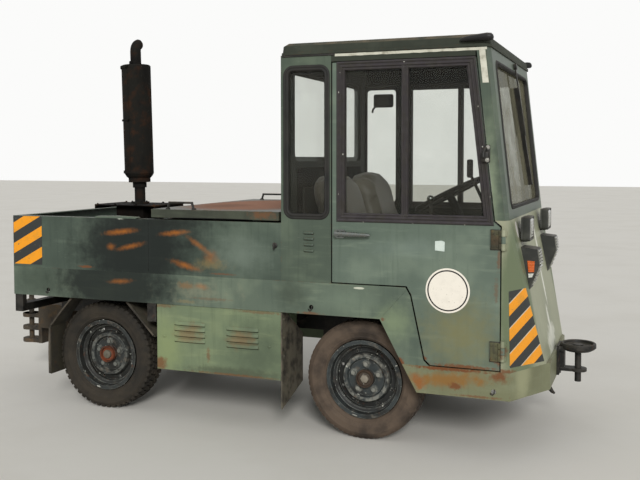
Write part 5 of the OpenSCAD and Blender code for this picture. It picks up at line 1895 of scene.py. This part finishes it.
class Finishes:
    """Every material of the tug, made once."""

    def __init__(self) -> None:
        """Build the materials."""
        smudges = tuple(sprayed(*each) for each in (
            (-1285, 958, 135, 22, 7, 0.75), (-1225, 885, 120, 20, 13, 0.6), (-1345, 880, 40, 26, 0, 0.5),
            (-965, 962, 115, 20, 6, 0.7), (-830, 905, 110, 22, -32, 0.5), (-905, 800, 120, 24, -14, 0.65),
            (-760, 850, 60, 50, 0, 0.35), (-1290, 702, 100, 20, 5, 0.5), (-815, 700, 60, 24, -4, 0.5)))
        self.olive_deck = paint("deck", "#4a564b", "#333d36", "#626e60", 0.6, spots=(
            # The first two spots are painted shadow: a broad dark cloud across the deck and a dark strip under the
            # lid's edge.
            flank(-1200, 880, 500, 300, "#111715", 0.92, 0, 0.3, 0.62, 0.4),
            flank(-1010, 1010, 430, 44, "#151a16", 0.8, 0, 0.5, 0.9, 0.5),
            flank(-590, 870, 240, 130, "#6c786c", 0.8, 0, 0.4, 1.1, 0.5),
            flank(-765, 815, 130, 40, "#7d6e48", 0.6, 0, 0.9, 1.0)) + smudges + (
            Spot((-1120, -600, 900), (22, 40, 150), "#1c211e", 0.6),
            Spot((-1285, -580, 1027), (34, 34, 12), "#c7cdbd", 0.8, 0, 0.5),
            rust(-1500, 768, 60, 8), rust(-700, 767, 90, 7, 0.6)))
        self.olive_sill = paint("sill", "#5d695b", "#47534a", "#7c8872", 0.6, spots=(
            # The first two spots are painted shadow: the broad dark cloud on the sill and its fringe toward the rear.
            flank(-1340, 690, 520, 220, "#111715", 0.9, 0, 0.3, 0.6, 0.45),
            flank(-1820, 690, 240, 160, "#2f3a30", 0.6, 0, 0.3, 0.9, 0.45)) + smudges[7:] + (
            flank(-800, 672, 260, 70, "#8b8a72", 0.5, 0, 1.5, 1.5, 0.7),
            flank(-905, 700, 60, 26, "#7c6040", 0.7, 0, 1.0, 0.8, 0.7),
            flank(-60, 675, 230, 90, "#6f7d6c", 0.7, 0, 0.4, 1.2, 0.5),
            flank(-330, 690, 130, 150, "#3c453a", 0.7, 0, 0.4, 1.0, 0.5),
            flank(180, 590, 130, 130, "#7d8b6c", 0.75, 0, 0.4, 1.0, 0.5),
            Spot((11, -600, 736), (30, 30, 6), "#c9cbb8", 0.9, 0, 0.2, 0.3),
            rust(124, 600, 15, 12, 0.8, "#6b4630"), rust(208, 410, 30, 26, 0.95),
            rust(-760, 640, 140, 10, 0.3), rust(-900, 620, 80, 12, 0.4, "#8b7b55"),
            rust(-240, 604, 80, 10, 0.6)))
        # The darker colour of the cab sheets' inner faces is painted shade.
        cab_inside_shade = "#20241f"
        self.olive_door = paint("door", "#5e6b5f", "#4c594d", "#7a8776", 0.45, inner=cab_inside_shade, spots=(
            flank(480, 560, 260, 260, "#757350", 0.9, 0, 0.5, 1.1, 0.55),
            flank(250, 930, 300, 70, "#7d8b80", 0.5, 0, 0.4, 1.2, 0.45),
            rust(500, 412, 190, 12, 0.9), rust(652, 470, 26, 60, 0.95), rust(312, 433, 28, 20, 0.9),
            rust(256, 377, 24, 20, 0.9), rust(650, 890, 10, 60, 0.55),
            rust(640, 760, 12, 70, 0.4)))
        self.olive_cab = paint("cab", "#4c574b", "#3a443a", "#66725f", 0.5, inner=cab_inside_shade, spots=(
            # A painted highlight along the right front post.
            Spot((590, -590, 1110), (80, 60, 480), "#88947a", 0.85, 0, 0.3, 0.8, 0.5),))
        self.olive_roof = paint("roof", "#353930", "#292d26", "#464a3f", 0.5, dust=0.75, matt=0.85)
        self.olive_nose = paint("nose", "#96987f", "#7c8069", "#a8aa92", 0.5, spots=tuple(
            Spot((745, y, 690), (150, 160, 480), "#657055", 0.95, 0, 0.15, 0.35, 0.5) for y in (-530, 530)) + (
            rust(645, 497, 60, 46, 0.95, "#6b4a33"), rust(690, 405, 60, 18, 0.85),
            Spot((724, 100, 897), (44, 30, 150), "#dcdccf", 0.95, 9.5, 0.5, 0.5, 0.6),
            Spot((764, 53, 706), (40, 24, 130), "#e2e2d6", 0.95, 11.8, 0.5, 0.5, 0.6),
            Spot((800, -10, 530), (44, 40, 110), "#dcdccf", 0.95, 11.8, 0.6, 0.6, 0.6),
            Spot((812, -30, 465), (60, 170, 70), "#d8d8ca", 0.85, 20, 0.9, 0.6, 0.6),
            Spot((826, -90, 412), (34, 120, 44), "#cfd1c4", 0.7, 0, 0.9, 0.7, 0.6),
            Spot((699, -417, 1014), (30, 24, 44), "#e3ddd8", 0.95, 0, 0.3, 0.3, 0.5)))
        self.olive_skirt = paint("skirt", "#74765a", "#5d5e47", "#85896e", 0.5, chips=0.9, spots=(
            flank(440, 350, 260, 46, "#86602f", 0.9, 4, 0.8, 0.8, 0.8),
            rust(293, 330, 46, 46, 0.95, "#8b5a30"), rust(430, 396, 240, 12, 1.0),
            rust(655, 380, 50, 36, 0.9),
            rust(462, 322, 40, 22, 0.9), rust(560, 284, 130, 8, 0.7),
            Spot((760, -530, 360), (90, 90, 150), "#939474", 0.85, 0, 0.3, 0.8, 0.4)))
        # The cab floor's darker olive is painted shade.
        self.olive_inside_shaded = paint("inside", "#2e352f", "#1f2521", "#3d463e", 0.6, dust=0.6)
        self.well_paint = paint("well", "#3f463d", "#262a25", "#5b5f50", 0.6, dust=0.8, chips=0.9)
        self.lid_paint = paint("lid", "#3d4035", "#2d322a", "#545b4b", 0.5, dust=0.0, chips=0.8, spots=(
            # A near-black strip along the lid's lower edge is a painted shadow of the gap under it.
            Spot((-750, -600, 1030), (420, 40, 12), "#0c0d0b", 1.0, 0, 0.1, 0.2, 0.8),
            rust(-480, 1062, 90, 26, 0.8, "#6b4a30"),
            Spot((-750, 0, 1090), (520, 760, 22), "#8d6046", 0.95, 0, 0.25, 0.3, 0.85),
            Spot((-900, -200, 1088), (200, 300, 20), "#6d4c38", 0.8, 0, 0.6, 0.6, 0.9),
            Spot((-560, 150, 1088), (170, 260, 20), "#9b8268", 0.6, 0, 0.6, 0.6, 0.9)))
        self.box_green = paint("side_box", "#6d7a5f", "#58644d", "#88936e", 0.5, chips=0.95, spots=(
            flank(-1010, 380, 130, 220, "#838f64", 0.8, 0, 0.4, 0.9, 0.5),
            flank(-510, 370, 280, 250, "#4c5746", 0.75, 0, 0.4, 1.0, 0.5),
            flank(-650, 285, 360, 34, "#464c3c", 0.7, 0, 0.5, 0.8, 0.6),
            rust(-886, 458, 100, 62, 0.5, "#7d5c3a"), rust(-592, 450, 100, 62, 0.5, "#7d5c3a"),
            rust(-1053, 297, 50, 40, 0.8), rust(-640, 270, 300, 10, 0.6), rust(-780, 360, 14, 46, 0.6),
            rust(-1060, 590, 120, 12, 0.5), rust(-500, 590, 160, 10, 0.5)))
        self.rust = RustedSteel("rusted_steel_plate", "#33291f", "#553823", "#191714", shine=0.1, spots=(
            # The near-black spot under the tray's plate is painted shade.
            Spot((-1558, 0, 1030), (300, 330, 62), "#0f0d0b", 0.95, 0, 0.1, 0.1, 0.9),)).make()
        self.burnt_steel = RustedSteel("burnt_steel_silencer", "#1f1e1b", "#38261b", "#131211", "#3c3b36",
                0.08).make()
        self.cast_rust = RustedSteel("rusted_cast_iron", "#4b443a", "#64503a", "#2b2824").make()
        self.engine_iron = RustedSteel("dusty_cast_iron", "#3d3d3b", "#4f4a40", "#262625").make()
        self.black = DustyBlack("chassis_enamel").make()
        self.underside = DustyBlack("underside_enamel", "#141311", "#36302a", 0.7).make()
        self.hitch_iron = DustyBlack("coupling_enamel", "#191917", "#4c463c", 0.4, 0.5).make()
        self.guard_grey = DustyBlack("mudguard_enamel", "#615c4f", "#6f6858", 0.6, 0.3).make()
        self.rear_guard = DustyBlack("rear_guard_enamel", "#3c392f", "#5b5649", 0.6, 0.3).make()
        self.frame_black = DustyBlack("window_frame_enamel", "#332f30", "#57525a", 0.4, 0.05).make()
        self.hinge_rust = RustedSteel("rusted_hinge", "#5b5a42", "#6d5233", "#37342c").make()
        self.rim_front = WheelPaint("wheel_enamel_front", 0.0, "#363b3b", "#1f1e1b", worn="#8f8e84",
                hub="#4a3e33").make()
        self.rim_rear = WheelPaint("wheel_enamel_rear", -WHEELBASE, "#2f3231", "#1f1e1a", "#9a9c94", "#6f7069",
                "#7d4228").make()
        self.hub_rust = RustedSteel("rusted_hub_front", "#3c322a", "#503d2e", "#241f1b").make()
        self.hub_rust_rear = RustedSteel("rusted_hub_rear", "#6e3a24", "#8a4526", "#3c281e").make()
        self.hub_pale = Enamel("worn_hub_cap", "#827a6c", "#554d42", 0.6, 0.6).make()
        self.tyre_front = RoadRubber("tyre_rubber_front", "#332c26", "#615346", 0.85).make()
        self.tyre_rear = RoadRubber("tyre_rubber_rear", "#1f1d19", "#40392f", 0.65).make()
        self.seal = RoadRubber("seal_rubber", "#1a1a19", "#44413b", 0.35, 0.6).make()
        self.flap_rubber = RoadRubber("flap_rubber", "#22201d", "#6b6254", 0.6).make()
        self.glass = CabGlass("toughened_glass").make()
        self.screen_glass = CabGlass("dusty_windscreen", haze=0.62, dust="#7d7a66").make()
        self.vinyl = SeatVinyl("seat_vinyl", "#59544a").make()
        self.piping = SeatVinyl("piping_vinyl", "#2c2a26").make()
        self.black_plastic = MouldedPlastic("moulded_plastic_cab", "#161615", "#2d2c28").make()
        self.lamp_plastic = MouldedPlastic("moulded_plastic_lamp", "#2f302d", "#55554e", 0.5).make()
        self.roof_lamp_plastic = MouldedPlastic("moulded_plastic_roof_lamp", "#191919", "#35342f", 0.45, 0.3).make()
        # The near-black lining is painted shade inside the cab.
        self.lining = MouldedPlastic("lining_board_painted_shade", "#030303", "#080807", 0.95, 0.5, 0.03).make()
        self.chrome = Plated("chrome_plate", "#777b78", 0.26).make()
        self.zinc = Plated("zinc_plate", "#a9a8a0", 0.42).make()
        self.rear_film = WarningFilm("warning_film_rear", 112, 0.53, 0.644).make()
        self.nose_film = WarningFilm("warning_film_nose", 112, 1.19, 0.9525, 0.7).make()
        self.white_enamel = Enamel("white_sign_enamel", "#efe8da", share=0.12).make()
        self.black_enamel = Enamel("black_sign_enamel", "#111111", "#2b2a28", 0.2).make()
        self.pale_note = Enamel("faded_paper_label", "#cfdad0", "#9fb3ad", 0.5).make()
        self.white_tape = Enamel("white_cloth_tape", "#cbc9b8", "#7f7a66", 0.7, 0.6).make()
        self.orange_lens = LampLens("acrylic_orange", "#f0752a").make()
        self.red_lens = LampLens("acrylic_red", "#8e1d16").make()
        self.white_lens = LampLens("acrylic_white", "#dcdcd2", 0.1).make()
        self.clear_lens = LampLens("acrylic_clear", "#a9a99c", 0.5).make()

    def dress_nodes(self) -> None:
        """Give every CAD node that stays visible its material."""
        for finish, nodes in (
                (self.olive_deck, "deck_side_right deck_side_left rear_panel"),
                (self.olive_sill, "sill_right sill_left"),
                (self.olive_door, "door_right door_left"),
                (self.olive_cab, "quarter_panel_right quarter_panel_left windscreen_frame cab_rear_wall "
                "rear_window_panel"),
                (self.olive_roof, "roof"),
                (self.olive_nose, "front_panel"),
                (self.olive_skirt, "front_skirt"),
                (self.olive_inside_shaded, "cab_floor"),
                (self.well_paint, "well_floor"),
                (self.lid_paint, "engine_lid"),
                (self.box_green, "side_box_right side_box_left"),
                (self.guard_grey, "front_mudguards"),
                (self.underside, "chassis_frame rear_axle front_axle knuckle_right knuckle_left"),
                (self.rear_guard, "rear_mudguards"),
                (self.black, "lid_handles wiper seat_frames"),
                (self.frame_black, "window_frame_right window_frame_left"),
                (self.hitch_iron, "front_coupling"),
                (self.cast_rust, "rear_coupling"),
                (self.burnt_steel, "exhaust_stack"),
                (self.rust, "exhaust_tray"),
                (self.engine_iron, "engine_block"),
                (self.rim_front, "rim_front_right rim_front_left"),
                (self.rim_rear, "rim_rear_right rim_rear_left"),
                (self.screen_glass, "windscreen"),
                (self.glass, "rear_glass quarter_glass door_glass_right door_glass_left"),
                (self.black_plastic, "dashboard steering_wheel"),
                (self.lamp_plastic, "headlamps turn_lamps"),
                (self.roof_lamp_plastic, "roof_lamps")):
            dress(finish, *nodes.split())


# ---- Studio ----


@dataclass
class Studio:
    """The camera at the photograph's place, soft light, and a pale floor."""

    spot: Point = (1970.0, -4349.0, 1329.0)
    yaw: float = 21.07
    pitch: float = 2.555
    lens: float = 48.47
    shift: Flat = (-0.0052, -0.0656)
    sun_way: Point = (-222.0, 457.0, -251.0)
    sun: float = 2.1
    sky: float = 0.55

    def camera(self) -> None:
        """Set the camera; its place is in mm of the shared frame."""
        data = bpy.data.cameras.new("view")
        data.lens, data.sensor_width, data.sensor_fit = self.lens, 36.0, "HORIZONTAL"
        data.shift_x, data.shift_y = self.shift
        made = put("view", data)
        made.location = Vector(self.spot) * MM
        made.rotation_euler = (radians(90 - self.pitch), 0.0, radians(self.yaw))
        bpy.context.scene.camera = made

    def light(self) -> None:
        """A broad soft sun from the front right, and an even sky that shows white behind the tug."""
        lamp = bpy.data.lights.new("key", "SUN")
        lamp.energy, lamp.angle = self.sun, radians(16)
        put("key", lamp).rotation_euler = Vector((0, 0, -1)).rotation_difference(Vector(self.sun_way)).to_euler()
        world = bpy.data.worlds.new("studio")
        world.use_nodes = True
        tree = world.node_tree
        tree.nodes.clear()
        path = add_node(tree, "LightPath").outputs
        seen = add_node(tree, "Math", {0: path["Is Camera Ray"], 1: path["Is Glossy Ray"]}, operation="MAXIMUM")
        seen = add_node(tree, "Math", {0: seen.outputs[0], 1: path["Is Transmission Ray"]}, operation="MAXIMUM")
        even = add_node(tree, "Background", {"Color": linear("#f4f5f6"), "Strength": self.sky})
        white = add_node(tree, "Background", {"Color": linear("#fbfbfa"), "Strength": 1.0})
        both = add_node(tree, "MixShader", {0: seen.outputs[0], 1: even.outputs[0], 2: white.outputs[0]})
        add_node(tree, "OutputWorld", {"Surface": both.outputs[0]})
        bpy.context.scene.world = world

    def ground(self) -> None:
        """A pale floor that runs far behind the tug."""
        work = bmesh.new()
        bmesh.ops.create_grid(work, x_segments=1, y_segments=1, size=40.0)
        data = bpy.data.meshes.new("floor")
        work.to_mesh(data)
        work.free()
        data.materials.append(StudioGround("screed_floor", "#d9d6ce").make())
        put("floor", data)

    def build(self) -> None:
        """Set the stage."""
        self.camera()
        self.light()
        self.ground()
        bpy.context.scene.view_settings.view_transform = "Standard"


def main() -> None:
    """Build every sub-assembly in order and report it."""
    logging.basicConfig(level=logging.INFO, format="%(name)s: %(message)s")
    Studio().build()
    finish = Finishes()
    finish.dress_nodes()
    for side in Side:
        Wheel(side, True).build(finish.tyre_front, finish.zinc, finish.hub_pale, finish.hub_rust)
        Wheel(side, False).build(finish.tyre_rear, finish.zinc, finish.guard_grey, finish.hub_rust_rear)
    Glazing().build(finish.seal)
    for side in Side:
        Door(finish, side).build()
    BodyTrim(finish).build()
    NoseLamps(finish).build()
    Ironwork(finish).build()
    Interior(finish).build()


if __name__ == "__main__":
    main()
